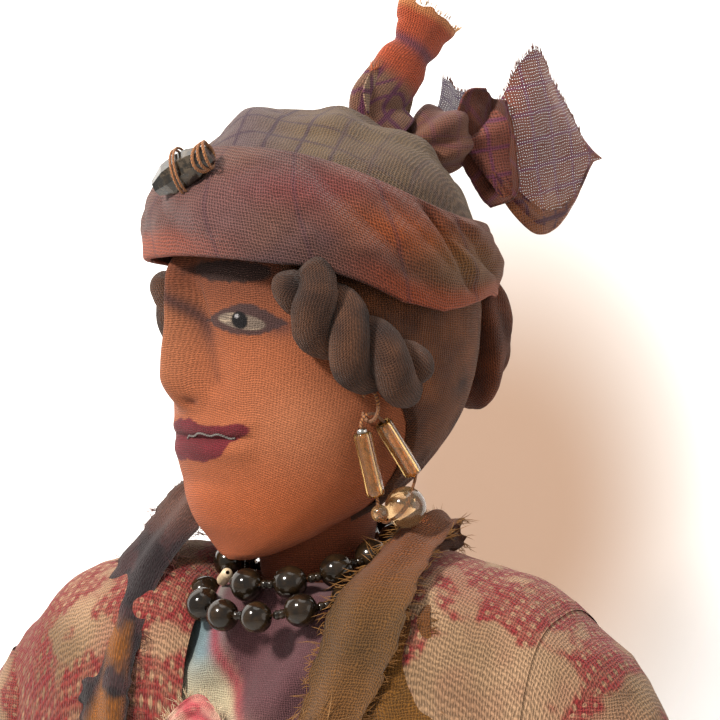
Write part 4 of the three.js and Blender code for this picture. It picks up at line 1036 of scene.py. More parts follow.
def build_ear_drops():
    tube_profile = [(1.02, 0.0), (1.5, 0.0), (1.72, 0.02), (1.75, 0.1), (1.75, 0.9), (1.72, 0.98),
                    (1.5, 1.0), (1.02, 1.0), (0.98, 0.97), (0.98, 0.03), (1.02, 0.0)]
    lining_profile = [(0.93, 0.0), (0.93, 1.0)]
    for side, label in SIDES:
        place, body = ear_frame(side), f"ear_drop_{label}"
        ring = ring_surface(EAR * [side, 1, 1] + [0, 0, EAR_RING_R], EAR_RING_R, [1, 0, 0], [0, 0, 1], 0.36)
        head_grid(f"ear_stitch_loop_{label}", ring, "thread", stands_for=[f"ear_stitch_{label}"])
        for name, top, foot in (("front", [0, -2.4, -0.6], [0, -5.1, -14.4]),
                                ("back", [0, 2.4, -1], [0, 4.6, -14.6])):
            top, foot = np.array(top, float), np.array(foot, float)
            start, end = top + 0.04 * (foot - top), top + 0.93 * (foot - top)
            tube = turned_surface(tube_profile, start, end, 48)
            grid_piece(f"ear_tube_{name}_{label}", place(tube), "tube", body,
                       stands_for=[f"ear_drop_tube_{name}_{label}"])
            lining = turned_surface(lining_profile, start, end, 24)
            grid_piece(f"ear_tube_lining_{name}_{label}", place(lining), "lining", body)
        crimp = turned_surface([(0.6, 0), (1.0, 0.1), (1.15, 0.5), (1.0, 0.9), (0.6, 1)],
                               [0, -2.35, -0.2], [0, -2.6, -1.5], 24)
        grid_piece(f"ear_crimp_{label}", place(crimp), "silver", body)
        path = curve_through([[0, 0, 1.5], [0, -1.6, 0.9], [0, -2.5, -0.8], [0, -5.1, -14.4],
                              [0, -5.7, -16.9], [0, -5.6, -18.9], [0, -3.6, -19.2], [0, 0, -18.6],
                              [0, 2.4, -16.6], [0, 4.6, -14.4], [0, 2.5, -0.9], [0, 1.5, 0.9], [0, 0, 1.5]],
                             160)
        grid_piece(f"ear_thread_{label}", place(tube_surface(path, 0.3, 10)), "thread", body,
                   stands_for=[f"ear_drop_thread_{label}"])
        small = ball([0, -5.7, -16.9], 1.7, 32, 0.35, (0, -0.25, -1))
        grid_piece(f"ear_small_bead_{label}", place(small), "clear", body,
                   stands_for=[f"ear_drop_small_bead_{label}"])
        big = ball([0, 0, -18.6], 4.05, 64, 0.4, (0, 1, 0.3))
        grid_piece(f"ear_round_bead_{label}", place(big), "clear", body,
                   stands_for=[f"ear_drop_round_bead_{label}"])


def strand_point(angle, ring, low, amount, lean, rise):
    """A necklace's line; angle is 0 at the front and turns towards the puppet's left."""
    half, front, back = ring
    c, s = np.cos(angle), np.sin(angle)
    z = low + np.minimum(amount * (1 - np.cos(angle - math.radians(lean))), rise)
    return np.stack([half * s, np.where(c > 0, -front * c, -back * c), z], -1)


# How many dark beads, the line of strand_point, and where on it the count begins.
STRANDS = {
    "upper": (12, ((16.6, 20, 16), 480.6, 5.6, -12, 10.4), 0.35),
    "lower": (15, ((21.4, 25, 15.5), 474.9, 6.5, -10, 6.3), 0.1),
}
BUGLE = [(0.4, 0), (1.1, 0.02), (1.2, 0.1), (1.1, 0.9), (0.9, 0.98), (0.4, 1)]


def build_necklace(name, count, line, start):
    path = strand_point(np.linspace(0, TAU, 721) + start, *line)
    length = np.concatenate([[0], np.cumsum(np.linalg.norm(np.diff(path, axis=0), axis=1))])
    pitch = length[-1] / count

    def spot(at):
        return np.stack([np.interp(at % length[-1], length, path[:, k]) for k in range(3)], -1)

    dark, bone = [], []
    for i in range(count):
        at = i * pitch
        along = spot(at + 1) - spot(at - 1)
        radius = 3.25 + RNG.uniform(-0.15, 0.2)
        centre = spot(at) + RNG.normal(0, 0.25, 3)
        if name == "upper" and i == count - 2:
            tilt = along / np.linalg.norm(along) + [0, 0, 0.5]
            bone.append(turned_surface(BUGLE, centre - 3.4 * tilt, centre + 3.0 * tilt, 28))
        else:
            bead = ball(centre, radius, 48, 0.45, along)
            dark.append(centre + (bead - centre) * (1 + 0.05 * (noise(bead, 3.0, i) - 0.5)[..., None]))
        for shift in (0.44, 0.56):
            gap = spot(at + shift * pitch)
            dark.append(ball(gap + RNG.normal(0, 0.1, 3), 0.95, 20, 0.3, along))
    mesh_piece(f"necklace_{name}_beads", *strand_mesh(dark), "dark", "torso", stands_for=[f"necklace_{name}"])
    fine = spot(np.linspace(0, length[-1] * 0.9999, 300))
    grid_piece(f"necklace_{name}_thread", tube_surface(fine, 0.28, 8), "thread", "torso")
    if bone:
        mesh_piece(f"necklace_{name}_bugle", *strand_mesh(bone), "bone", "torso")


# ---- torso and clothes ---------------------------------------------------------------------------
# Height, half width and half depth of the dressed body; then the same for the skirt.
BODY = smooth_table([
    [340, 38.5, 26.5], [366, 30, 20.5], [386, 27.5, 18.5], [412, 34.5, 20.5], [438, 43, 22],
    [455, 47.5, 20.5], [464, 46, 19], [472, 34, 17.6], [479, 19, 15.4],
])
SKIRT = smooth_table([[130, 54, 44], [210, 50.5, 39.5], [285, 46, 33.5], [335, 40.5, 28], [352, 36, 25],
                      [372, 30, 21], [386, 28, 19]])


def around_body(theta, z, grow=0.0, rows=BODY):
    half, deep = rows(z)
    return np.stack([(half + grow) * np.sin(theta), -(deep + grow) * np.cos(theta), z + 0 * theta], -1)


def print_tint(p, seed=3):
    """Cream gauze with washes of olive and rose, and in alpha where the red dotted print lies."""
    tint = lay_colours(
        even_tint(p, 168, 134, 104),
        (1.6 * cloudy(p, 15, seed) - 0.5, 112, 86, 58),
        (1.7 * cloudy(p, 11, seed + 4) - 0.75, 142, 84, 70),
        (1.8 * cloudy(p, 20, seed + 9) - 0.9, 98, 70, 44),
    )
    blot = step(cloudy(p, 20, seed + 6) + 0.3 * (cloudy(p, 5, seed) - 0.5), 0.45, 0.5)
    return np.concatenate([tint, blot[..., None]], -1)


def shoulder_line(x):
    """Height of the dressed shoulder over the arm's line, falling away from the neck."""
    return np.interp(np.abs(x), [0, 22, 29, 40, 48, 55, 66, 75, 80],
                     [487.5, 487, 486.5, 484.5, 482, 478.5, 470, 459, 449])


YOKE_END = 57.0


def over_shoulder(side, x, arc, under=0.0):
    """Cloth over one shoulder, x out from the neck; arc runs from -1 in front to 1 behind."""
    top = shoulder_line(x)
    deep = np.interp(x, [13, 30, 48, 57, 66, 74, 78, 81], [24.6, 24.2, 22.0, 20.0, 17.5, 13.5, 9.5, 3.0])
    low = np.interp(x, [13, 30, 48, 57, 66, 81], [440, 442, 445, 443, 439, 436])
    fall = 0.55 * np.abs(arc) ** 1.9 + 0.45 * np.abs(arc) ** 5
    out = x - 0.2 * np.maximum(x - 46, 0) * np.abs(arc) ** 2
    y = (deep - under) * np.sin(arc * math.pi / 2) * (1 + 0.03 * np.sin(5 * arc + x / 8))
    height = top - (top - low) * fall - 9.0 * bump(x, 13, 7) * (1 - 0.2 * np.abs(arc))
    form = np.stack([side * (out + 0 * arc), y, height + 0 * arc], -1)
    ruck = 1.7 * (cloudy(form, 10, 75) - 0.5) + 0.5 * np.sin(x / 3.6 + 3 * arc) - under
    uv = np.stack([side * x + 0 * arc, deep * arc * 1.25], -1)
    return form + ruck[..., None] * np.array([0.2 * side, 0, 1.0]), uv


def build_bodice():
    theta, z = np.meshgrid(np.linspace(-math.pi, math.pi, 300), np.linspace(386, 479, 170))
    bodice = around_body(theta, z, 0.4)
    front = step(np.cos(theta), 0.3, 0.9) * step(z, 425, 452)
    ruffle = 1.6 * np.sin(bodice[..., 0] / 3.4 + 2.2 * np.sin(z / 7))
    ruffle = ruffle + 2.6 * (cloudy(bodice, 7, 41) - 0.35) + 0.8
    bodice = bodice + (front * ruffle)[..., None] * outward(theta)
    neck = np.concatenate([bodice, around_body(theta[-1:], 480.5, -5.0)])
    x, h = neck[..., 0], neck[..., 2]
    tint = lay_colours(
        even_tint(neck, 206, 188, 150),
        (1.7 * cloudy(neck, 15, 50) - 0.6, 150, 156, 144),
        (1.3 * bump(np.hypot((x + 14) / 7, (h - 471) / 9), 0, 1), 112, 132, 138),
        (1.5 * step(x + 0.35 * (h - 452), -6, 1.5) * step(h, 436, 446), 96, 62, 66),
        (0.9 * bump(x + 5 + 0.5 * (h - 458), 0, 1.6) * step(h, 440, 450), 150, 52, 66),
        (1.1 * bump(np.hypot((x + 16) / 11, (h - 452) / 3.2), 0, 1), 222, 186, 160),
        (0.8 * bump(np.hypot((x + 9) / 6, (h - 449) / 2.2), 0, 1), 170, 50, 70),
        (step(np.abs(x), 18, 26) + step(-np.cos(theta[:1] + 0 * neck[..., 0]), 0.0, 0.4), 120, 78, 66),
    )
    return grid_piece("bodice_cloth", neck, "bodice", "torso", tint=tint, stands_for=["bodice"])


def build_rag():
    """The torn patch on the bodice, and its frayed edge."""
    rag = sheet_grid([[-23, -23.5, 449], [-17, -25.5, 456], [-11, -26, 459.5], [-5, -26.2, 454]],
                     [[-24, -24, 443], [-17, -27.2, 450], [-10, -27.8, 452], [-4, -26.6, 447]], 60, 0.5, 2.0,
                     0, 1.0, 30)
    rag = rag + 1.3 * (cloudy(rag, 3.2, 60) - 0.5)[..., None] * [0.3, 1, 0.6]
    tint = gauze_tint(rag, arc_uv(rag), (228, 196, 170), (196, 150, 130), 0.0, 62)
    tint = lay_colours(tint, (0.9 * bump(cloudy(rag, 6, 66), 0.6, 0.12), 180, 52, 72))
    rag_piece = grid_piece("bodice_rag", rag, "bodice", "torso", tint=tint, thick=0.3)
    rag_fray = torso_fray("bodice_rag_fray", fringe(rag, "left", 90, 2.2, 0.6), "bone", slot="patched_cotton")

    return rag_piece, rag_fray


def build_jacket():
    """The jacket's back and sides up to the shoulders, open down the front."""
    z = np.concatenate([np.linspace(342, 440, 110), np.linspace(440.8, 466, 40)])
    open_right = np.interp(z, [342, 398, 420, 452, 470], [0.02, 0.08, 0.42, 0.66, 1.25])
    open_left = np.interp(z, [342, 398, 420, 452, 470], [0.02, 0.06, 0.13, 0.2, 0.62])
    share = np.linspace(0, 1, 420)[None, :]
    theta = open_left[:, None] + share * (TAU - (open_left + open_right)[:, None])
    z = z[:, None] + 0 * theta
    jacket = around_body(theta, z, 2.6)
    flare = step(-z, -372, -342)
    fold = 0.9 * np.sin(9 * theta + 1.2 * np.sin(z / 17)) * (0.35 + flare)
    fold = fold + 1.2 * (cloudy(jacket, 11, 71) - 0.5)
    cinch = -1.4 * bump(z, 384, 9) + 0.6 * flare * np.sin(17 * theta)
    edge = 0.9 * bump(np.minimum(share, 1 - share), 0, 0.012)
    jacket = jacket + np.clip(fold + cinch + edge, -1.4, 3)[..., None] * outward(theta)
    uv = np.stack([theta * 40, z], -1)
    return grid_piece("jacket_cloth", jacket, "print", "torso", tint=print_tint(jacket), uv=uv,
                      stands_for=["jacket"])


def build_yokes():
    """The jacket's yoke falls from the neck over both shoulders, and ends on the arms' caps."""
    yokes = []
    for side, label in SIDES:
        x = np.linspace(13 if side > 0 else 17, YOKE_END, 110)[:, None]
        yoke, uv = over_shoulder(side, x, np.linspace(-1, 1, 150)[None, :])
        yokes.append(grid_piece(f"jacket_yoke_{label}", yoke, "print", "torso", tint=print_tint(yoke), uv=uv))
    return yokes


def build_sash():
    theta, t = np.meshgrid(np.linspace(-math.pi, math.pi, 260), np.linspace(0, 1, 60))
    sash = around_body(theta, 374 + 20 * t, 3.6 + 1.3 * np.sin(math.pi * t) ** 0.6)
    gather = 0.8 * np.sin(t * 21 + 2.5 * np.sin(2 * theta) + 3 * cloudy(sash, 14, 80))
    sash = sash + gather[..., None] * outward(theta)
    tint = gauze_tint(sash, arc_uv(sash), (120, 66, 60), (92, 52, 60), 0.0, 82)
    return grid_piece("sash_cloth", sash, "bodice", "torso", tint=tint, stands_for=["sash"])


def build_skirt():
    theta, z = np.meshgrid(np.linspace(-math.pi, math.pi, 541), np.linspace(130, 386, 170))
    skirt = around_body(theta, z, -0.3, SKIRT)
    hang = step(-z, -372, -150)
    pleats = np.sin(21 * theta + 1.4 * np.sin(z / 55) + 2 * cloudy(skirt, 60, 90)) * (0.35 + 2.4 * hang)
    skirt = skirt + (pleats + 1.2 * hang * (cloudy(skirt, 22, 92) - 0.5))[..., None] * outward(theta)
    tint = lay_colours(
        even_tint(skirt, 112, 60, 52),
        (1.5 * cloudy(skirt, 30, 94) - 0.5, 88, 52, 62),
        (0.8 * bump(z, 146, 3.0), 196, 150, 92),
        (0.8 * bump(z, 158, 1.4), 196, 150, 92),
        (0.5 * bump(cloudy(skirt, 9, 97), 0.62, 0.07), 190, 140, 86),
    )
    return grid_piece("skirt_cloth", skirt, "skirt", "torso", tint=tint, uv=np.stack([theta * 50, z], -1),
                      stands_for=["skirt"])


def build_torso_clothes():
    body_panel = build_bodice()
    rag_piece, rag_fray = build_rag()
    jacket_piece = build_jacket()
    yokes = build_yokes()
    sash_piece = build_sash()
    skirt_piece = build_skirt()
    return [jacket_piece, body_panel, *yokes]


SHAWL_FAR = -5  # threads beyond this x are dark, like the cloth there
# The shawl's two long edges, from the near end up, round the nape and down to the far end.
SHAWL_INNER = [
    [11, -26.6, 398], [11, -27.4, 430], [11.5, -27.2, 453], [13, -26, 460], [14.7, -24.6, 469],
    [17, -22.4, 478.5],
    [22, -13, 488], [24.5, -1, 494.5], [22, 12, 492], [12, 19, 492.5], [0, 21, 493], [-12, 19, 493],
    [-20, 12, 495], [-23, 2, 498], [-21, -12, 490], [-25.5, -17, 482], [-27, -20.5, 474], [-28, -24, 464],
    [-28.5, -26, 452], [-22, -27.4, 430], [-15, -26.6, 398],
]
SHAWL_OUTER = [[23, -26.2, 399], [24, -27.2, 430], [24.5, -27, 453], [28.5, -26.4, 461.5],
               [32.5, -24.4, 470.5], [34, -20, 481], [33, -7, 489.5], [30.5, 4, 492.5], [25, 15, 486],
               [14, 23, 484], [0, 26, 483.5], [-14, 23, 485], [-26, 13, 489], [-30.5, 0, 498.5],
               [-36.5, -7, 489], [-40.5, -14, 478], [-41, -20, 466], [-40, -24, 453], [-34, -26.6, 430],
               [-27, -26.2, 399]]
STRIP_LEFT = [
    [25, -23.6, 402], [25.5, -24.6, 430], [25.5, -24.9, 453], [24, -22.6, 466], [26, -18.5, 476],
    [28, -12, 482],
]
STRIP_RIGHT = [
    [38, -20.4, 403], [40, -21.6, 430], [40.6, -21.8, 453], [38.8, -19.6, 466], [36.4, -17, 477],
    [34, -10, 482],
]


def build_shawl():
    shawl = sheet_grid(SHAWL_INNER, SHAWL_OUTER, 620, 0.55, 1.5, 0.6, -1.2, 72)
    ragged = np.abs(np.linspace(-1, 1, 72))[None, :,
                                            None] ** 9 * (noise(shawl, 1.8, 5)[..., None] - 0.5) * 2.8
    rumple = 1.7 * (cloudy(shawl, 9, 101) - 0.5)
    shawl = shawl + rumple[..., None] * [0.2, -0.8, 0.6] + ragged * [0.5, 0.2, 0.3]
    uv = arc_uv(shawl)
    far = step(-shawl[..., 0], -4, 10)
    tint = lay_colours(
        even_tint(shawl, 112, 74, 36),
        (1.5 * cloudy(shawl, 12, 104) - 0.4, 70, 52, 28),
        (0.8 * step(shawl[..., 2], 476, 490) * (1 - far), 112, 60, 30),
        (0.6 * (1 - step(shawl[..., 2], 448, 458)), 140, 96, 54),
        (far, 62, 38, 40),
        (far * step(cloudy(shawl, 7, 108), 0.52, 0.6), 38, 26, 30),
    )
    gold_edge = shawl[..., 0] + 36 + 2.5 * np.sin(shawl[..., 2] / 5)
    gold = far * step(-shawl[..., 2], -474, -470) * step(gold_edge, -3, 1)
    gold = gold * (1 - step(shawl[..., 0], -31, -28)) * step(cloudy(shawl, 6, 109), 0.3, 0.5)
    tint = lay_colours(
        tint,
        (0.85 * gold, 150, 88, 26),
        (0.7 * far * step(shawl[..., 2], 486, 495), 104, 70, 56),
    )
    shawl_piece = grid_piece("shawl_cloth", shawl, "scarf", "torso", tint=tint, uv=uv, stands_for=["shawl"])
    frays = fringe(shawl, "left", 760, 3.0, 0.7) + fringe(shawl, "right", 620, 2.6, 0.6)
    near = [p for p in frays if p[0][0] > SHAWL_FAR]
    pale = torso_fray("shawl_fray_near", near, "scarf_fray")
    dark = torso_fray("shawl_fray_far", [p for p in frays if p[0][0] <= SHAWL_FAR], "plum_fray",
                      slot="shawl_gauze")
    loose = []
    for _ in range(70):
        start = np.array([RNG.uniform(10.5, 25), -27.8 - RNG.uniform(0, 0.6), RNG.uniform(449, 457)])
        way = RNG.normal([0.8, -0.25, -0.1], [1.0, 0.25, 0.45])
        bend = RNG.normal(0, 1, 3) * [1, 0.3, 1]
        reach = RNG.uniform(2, 7)
        loose.append([start + way * reach * t + bend * reach * 0.5 * t * t for t in (0, 0.3, 0.6, 1.0)])
    loops = torso_fray("shawl_loose_threads", loose, "pale_fray", 0.1, slot="shawl_gauze")


def build_gold_strip():
    """A strip of yellow gauze that hangs beside the shawl on the near side."""
    gold_strip = sheet_grid(STRIP_LEFT, STRIP_RIGHT, 220, 0.5, 1.5, 0.4, -1.0, 50)
    crease = 1.3 * (cloudy(gold_strip, 8, 111) - 0.5)
    gold_strip = gold_strip + crease[..., None] * [0.2, -1, 0.3] + [0, -1.2, 0]
    tint = lay_colours(
        even_tint(gold_strip, 138, 86, 24),
        (1.5 * cloudy(gold_strip, 11, 113) - 0.4, 86, 60, 24),
        (0.7 * step(gold_strip[..., 2], 466, 476), 92, 52, 28),
    )
    strip = grid_piece("shawl_gold_strip", gold_strip, "scarf", "torso", tint=tint)
    frays = fringe(gold_strip, "right", 160, 2.0, 0.5) + fringe(gold_strip, "left", 60, 2.0, 0.5)
    strip_fray = torso_fray("shawl_gold_fray", frays, "scarf_fray")


# ---- arms ----------------------------------------------------------------------------------------
def limb_surface(x, sections, sides=40, count=120):
    shape = smooth_table(sections)
    z = np.linspace(sections[0][0], sections[-1][0], count)
    half, deep = shape(z)
    close = rounded(count, 0.03)
    angle = np.linspace(0, TAU, sides + 1)
    x_at = x + (half * close)[:, None] * np.sin(angle)
    return np.stack([x_at, -(deep * close)[:, None] * np.cos(angle), z[:, None] + 0 * angle], -1)


def build_cords(side, label):
    """The cord rings of the arm, each with its knot, from the shoulder down to the rod."""
    x = ARM_X * side
    rings = (("shoulder_cord", SHOULDER_Z, 5.0, [side, 0, 0], f"shoulder_link_{label}"),
             ("elbow_cord", ELBOW_Z, 4.4, [0, -1, 0], f"upper_arm_{label}"),
             ("wrist_cord", WRIST_Z, 3.8, [0, -1, 0], f"forearm_{label}"),
             ("rod_tie", TIE_Z, 3.8, [0, -1, 0], f"hand_{label}"))
    for name, z, radius, along, body in rings:
        ring = ring_surface([x, 0, z], radius, along, [0, 0, -1], 0.75, 72, 12)
        knot = ball([x + along[0] * (radius + 0.6), along[1] * (radius + 0.6), z], 1.5, 20)
        knot = knot + 0.5 * (noise(knot, 1.0, 4) - 0.5)[..., None]
        points, faces = strand_mesh([ring, knot])
        mesh_piece(f"{name}_tied_{label}", points, faces, "cord", body, uv=strand_uv([ring, knot]),
                   stands_for=[f"{name}_{label}"])


def build_arm_blocks(side, label):
    """The two carved blocks of the arm, each from its foot up to the eye that its upper cord runs through."""
    x = ARM_X * side
    foot, eye = ELBOW_Z + 4.4, SHOULDER_Z - 5
    upper = limb_surface(x, [[foot - 2.9, 2.6, 1.2], [foot - 1.5, 3.6, 2], [foot + 2, 4.4, 3.6],
                             [foot + 10, 5.2, 5.2], [foot + 36, 6, 6], [eye - 24, 6, 6.4],
                             [eye - 12, 4.6, 5.4], [eye - 6, 2.4, 3.8], [eye, 2, 3.2], [eye + 2.9, 1.4, 2]])
    grid_piece(f"upper_arm_carved_{label}", upper, "carved", f"upper_arm_{label}",
               stands_for=[f"upper_arm_{label}"])
    foot, eye = WRIST_Z + 3.8, ELBOW_Z - 4.4
    fore = limb_surface(x, [[foot - 2.9, 2.4, 1.1], [foot - 1.2, 3.2, 1.9], [foot + 2, 3.6, 3],
                            [foot + 10, 3.9, 4.1], [foot + 34, 5, 5.2], [eye - 14, 5.4, 5.4],
                            [eye - 6, 4.6, 4.6], [eye, 4, 3], [eye + 2.9, 2.6, 1.1]])
    grid_piece(f"forearm_carved_{label}", fore, "carved", f"forearm_{label}", stands_for=[f"forearm_{label}"])


def build_hand(side, label):
    x = ARM_X * side
    foot, eye = TIE_Z + 3.8, WRIST_Z - 3.8
    parts = [limb_surface(x, [[foot - 2.9, 2.4, 1.1], [foot - 1, 3.2, 2], [foot + 3, 3.6, 3.2],
                              [foot + 8, 5, 5.4], [foot + 17, 5.6, 7.4], [eye - 12, 4.8, 6.6],
                              [eye - 6, 3.8, 4.2], [eye, 3.2, 2.4], [eye + 2.9, 2.4, 1.1]])]
    for i in range(4):
        y = -4.8 + 3.2 * i
        curl = curve_through([[x, y, foot + 17], [x - 1.6 * side, y, foot + 10],
                              [x - 2.8 * side, y, foot + 5.6], [x - 6.2 * side, y * 0.9, foot + 7.5]], 40)
        parts.append(tube_surface(curl, np.linspace(1.85, 1.35, 40) * rounded(40, 0.12), 20))
    thumb = curve_through([[x, -5, eye - 13], [x - 1.5 * side, -8.8, foot + 13],
                           [x - 3.6 * side, -8, foot + 7]], 40)
    parts.append(tube_surface(thumb, np.linspace(2.2, 1.6, 40) * rounded(40, 0.12), 20))
    points, faces = strand_mesh(parts)
    mesh_piece(f"hand_carved_{label}", points, faces, "hand", f"hand_{label}", stands_for=[f"hand_{label}"])


def build_arm_rod(side, label):
    x = ARM_X * side
    eye = TIE_Z - 3.8
    rod = limb_surface(x, [[8, 3.2, 3.2], [12, 4.2, 4.2], [30, 3.8, 3.8], [38, 2.7, 2.7], [46, 2.2, 2.2],
                           [60, 2.1, 2.1], [120, 2, 2], [200, 1.9, 1.9], [eye - 16, 1.9, 1.9],
                           [eye - 5, 3, 2.4], [eye, 3.2, 2.2], [eye + 2.9, 2.4, 1.1]], 40, 260)
    grid_piece(f"arm_rod_turned_{label}", rod, "rod", f"arm_rod_{label}", stands_for=[f"arm_rod_{label}"])


def build_sleeve(side, label):
    x = ARM_X * side
    shape = smooth_table([[296, 12.6, 16.4], [316, 11.6, 14.2], [336, 10.8, 12.4], [356, 10.6, 12],
                          [376, 11, 12.4], [406, 12, 14], [438, 13.2, 16], [456, 12.6, 16.5],
                          [463, 9.5, 13]])
    theta, z = np.meshgrid(np.linspace(-math.pi, math.pi, 200), np.linspace(296, 463, 190))
    half, deep = shape(z)
    sleeve = np.stack([x + half * np.sin(theta), -deep * np.cos(theta), z], -1)
    crush = 0.9 * np.sin(z / 3.4 + 1.6 * np.sin(theta)) * bump(z, 366, 16)
    hang = 0.7 * np.sin(7 * theta + z / 21) * step(-z, -440, -300)
    hang = hang + 1.5 * (cloudy(sleeve, 12, 120 + side) - 0.5)
    sleeve = sleeve + (crush + hang)[..., None] * outward(theta)
    uv = np.stack([theta * 12, z], -1)
    piece = grid_piece(f"sleeve_cloth_{label}", sleeve, "print", None, tint=print_tint(sleeve), uv=uv,
                       stands_for=[f"sleeve_upper_{label}", f"sleeve_lower_{label}"])
    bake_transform(piece)


def build_shoulder_cap(side, label):
    """A cap of the jacket's cloth over the shoulder's cord, from the yoke to the head of the sleeve."""
    across = np.linspace(46, 81, 80)[:, None]
    arc = np.linspace(-1, 1, 130)[None, :]
    cap, uv = over_shoulder(side, across, arc, 0.3)
    piece = grid_piece(f"shoulder_cap_{label}", cap, "print", None, tint=print_tint(cap), uv=uv)
    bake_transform(piece)


# ---- rods ----------------------------------------------------------------------------------------
def revolve_piece(name, profile, material, body, **options):
    """A turned piece about the rod's axis, from (radius, height) pairs."""
    angle = np.linspace(0, TAU, 97)
    ring = np.stack([np.cos(angle), np.sin(angle), 0 * angle], -1)
    surface = np.array([r * ring + [0, 0, z] for r, z in profile])
    return grid_piece(name, surface, material, body, **options)


def build_rods():
    shape = smooth_table([[0, 9], [3, 10.5], [30, 12], [70, 11.4], [104, 9], [118, 6.4], [128, 6.4]])
    heights = np.linspace(0.0, 118, 120)[2:]
    profile = [(0.01, 0.0), (8.6, 0.0)] + [(float(shape(h)[0]), float(h)) for h in heights]
    profile += [(6.4, 339.65), (6.2, 340.4), (5, 341.65), (5, 519), (3.8, 521), (0.01, 521)]
    revolve_piece("rod_turned", profile, "rod", "rod_and_head", stands_for=["central_rod"])
    washer = [(5.45, 361.7), (13.2, 361.7), (13.9, 362.4), (14, 363.7), (13.8, 365.0), (13.2, 365.6),
              (5.45, 365.6), (5.45, 361.7)]
    revolve_piece("washer_leather_disc", washer, "leather", "washer", stands_for=["grip_washer"])


# ---- stage ---------------------------------------------------------------------------------------
LOOK_AZ, LOOK_EL = math.radians(30), math.radians(1)
RIGHT = np.array([math.cos(LOOK_AZ), math.sin(LOOK_AZ), 0])
BACK = np.array([math.sin(LOOK_AZ) * math.cos(LOOK_EL), -math.cos(LOOK_AZ) * math.cos(LOOK_EL),
                 math.sin(LOOK_EL)])
CAMERA_M = 0.55
PICTURE_M = 0.144  # width of what the picture shows, at the head


def aim(thing, at, target):
    from mathutils import Vector

    thing.location = at
    thing.rotation_euler = (Vector(target) - Vector(at)).to_track_quat("-Z", "Y").to_euler()


def backdrop_material():
    """Pale paper with a painted warm shadow on the right and an emission glow that paints the left as fully
    lit; clear from behind.
    """
    g = Graph("backdrop_painted_shadow")
    part = g.node("ShaderNodeSeparateXYZ", inputs={0: g.place()}).node
    across = g.math("DIVIDE", g.math("SUBTRACT", part.outputs[0], 0.034), 0.062)
    up = g.math("DIVIDE", g.math("ADD", part.outputs[2], 0.155), 0.088)
    far = g.math("SQRT", g.math("ADD", g.math("MULTIPLY", across, across), g.math("MULTIPLY", up, up)))
    # painted warm shadow to the right of the figure, and a painted glow (emission) that makes the rest read
    # as fully lit
    colour = g.blend(g.spread(far, 0.25, 1.15), srgb(178, 150, 130), (0.95, 0.95, 0.95))
    glow = g.spread(far, 0.7, 1.3, 0.0, 0.45)
    g.set(Base_Color=colour, Roughness=0.9, Emission_Color=(1.0, 1.0, 1.0), Emission_Strength=glow)
    clear = g.node("ShaderNodeBsdfTransparent")
    side = g.node("ShaderNodeNewGeometry", "Backfacing")
    mixed = g.tree.nodes.new("ShaderNodeMixShader")
    g.tree.links.new(side, mixed.inputs[0])
    g.tree.links.new(g.shader.outputs[0], mixed.inputs[1])
    g.tree.links.new(clear, mixed.inputs[2])
    g.tree.links.new(mixed.outputs[0], g.output.inputs[0])
    return g.material


def flat_panel(name, size, material):
    mesh = bpy.data.meshes.new(name)
    w, h = size[0] / 2, size[1] / 2
    mesh.from_pydata([(-w, 0, -h), (w, 0, -h), (w, 0, h), (-w, 0, h)], [], [(0, 1, 2, 3)])
    mesh.materials.append(material)
    panel = bpy.data.objects.new(name, mesh)
    bpy.context.scene.collection.objects.link(panel)
    return panel


def area_light(name, at, target, size, watts, colour):
    data = bpy.data.lights.new(name, "AREA")
    data.shape, data.size, data.energy, data.color = "DISK", size, watts, colour
    lamp = bpy.data.objects.new(name, data)
    bpy.context.scene.collection.objects.link(lamp)
    aim(lamp, at, target)
    return lamp


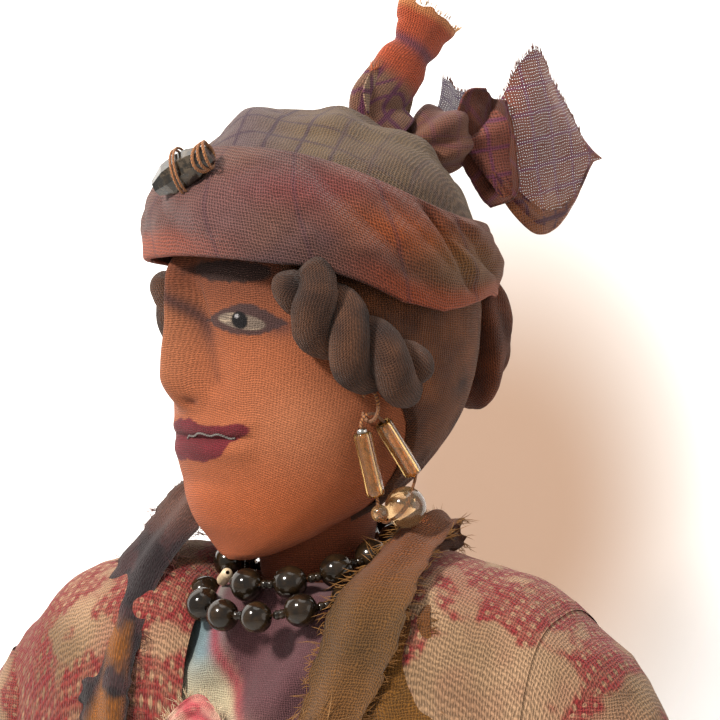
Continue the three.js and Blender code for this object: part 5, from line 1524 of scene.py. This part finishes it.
def build_stage():
    target = np.array([0, 0, 0.524]) + 0.009 * RIGHT
    data = bpy.data.cameras.new("camera")
    data.sensor_width = 36
    data.lens = 36 * CAMERA_M / PICTURE_M
    camera = bpy.data.objects.new("camera", data)
    bpy.context.scene.collection.objects.link(camera)
    aim(camera, tuple(target + CAMERA_M * BACK), tuple(target))
    bpy.context.scene.camera = camera

    floor = flat_panel("floor", (4, 4), plain("floor_paper", srgb(236, 233, 228), 0.9))
    floor.rotation_euler = (-math.pi / 2, 0, 0)
    wall = flat_panel("backdrop", (1.2, 1.3), backdrop_material())
    wall.rotation_euler = (0, 0, LOOK_AZ)
    wall.location = tuple(target * [1, 1, 0] + [0, 0, 0.64] - 0.14 * BACK * [1, 1, 0])

    def seen_from(az, el, distance):
        turn = LOOK_AZ + math.radians(az)
        high = math.radians(el)
        way = np.array([math.sin(turn) * math.cos(high), -math.cos(turn) * math.cos(high), math.sin(high)])
        return tuple(target + distance * way)

    aimed = tuple(target)
    lights = [
        area_light("key", seen_from(-46, 34, 0.9), aimed, 0.14, 12.0, (1.0, 0.95, 0.88)),
        area_light("fill", seen_from(60, 10, 1.1), aimed, 0.9, 2.5, (1.0, 0.92, 0.82)),
        area_light("top", seen_from(10, 80, 1.0), aimed, 0.8, 4.0, (1.0, 0.97, 0.93)),
    ]
    world = bpy.data.worlds.new("studio")
    world.use_nodes = True
    world.node_tree.nodes["Background"].inputs[0].default_value = (1.0, 0.985, 0.965, 1)
    world.node_tree.nodes["Background"].inputs[1].default_value = 0.5
    bpy.context.scene.world = world
    bpy.context.scene.view_settings.view_transform = "Standard"


def paint_hidden_nodes():
    """The CAD nodes that stay as they are, inside the head and the torso, take their own wood."""
    for name, key in (("neck_peg", "rod"), ("torso_block", "carved")):
        node = bpy.data.objects[name]
        node.data.materials.clear()
        node.data.materials.append(MAT[key])


build_face()
build_hair()
build_band(build_crown())
head_knot = build_knot()
build_rolled_end()
build_fan()
build_short_end()
build_stone()
build_ear_drops()
for strand, (bead_count, strand_line, strand_start) in STRANDS.items():
    build_necklace(strand, bead_count, strand_line, strand_start)
layers = build_torso_clothes()
build_shawl()
build_gold_strip()
for arm_side, arm_label in SIDES:
    for build in (build_cords, build_arm_blocks, build_hand, build_arm_rod, build_sleeve, build_shoulder_cap):
        build(arm_side, arm_label)
build_rods()
paint_hidden_nodes()
build_stage()
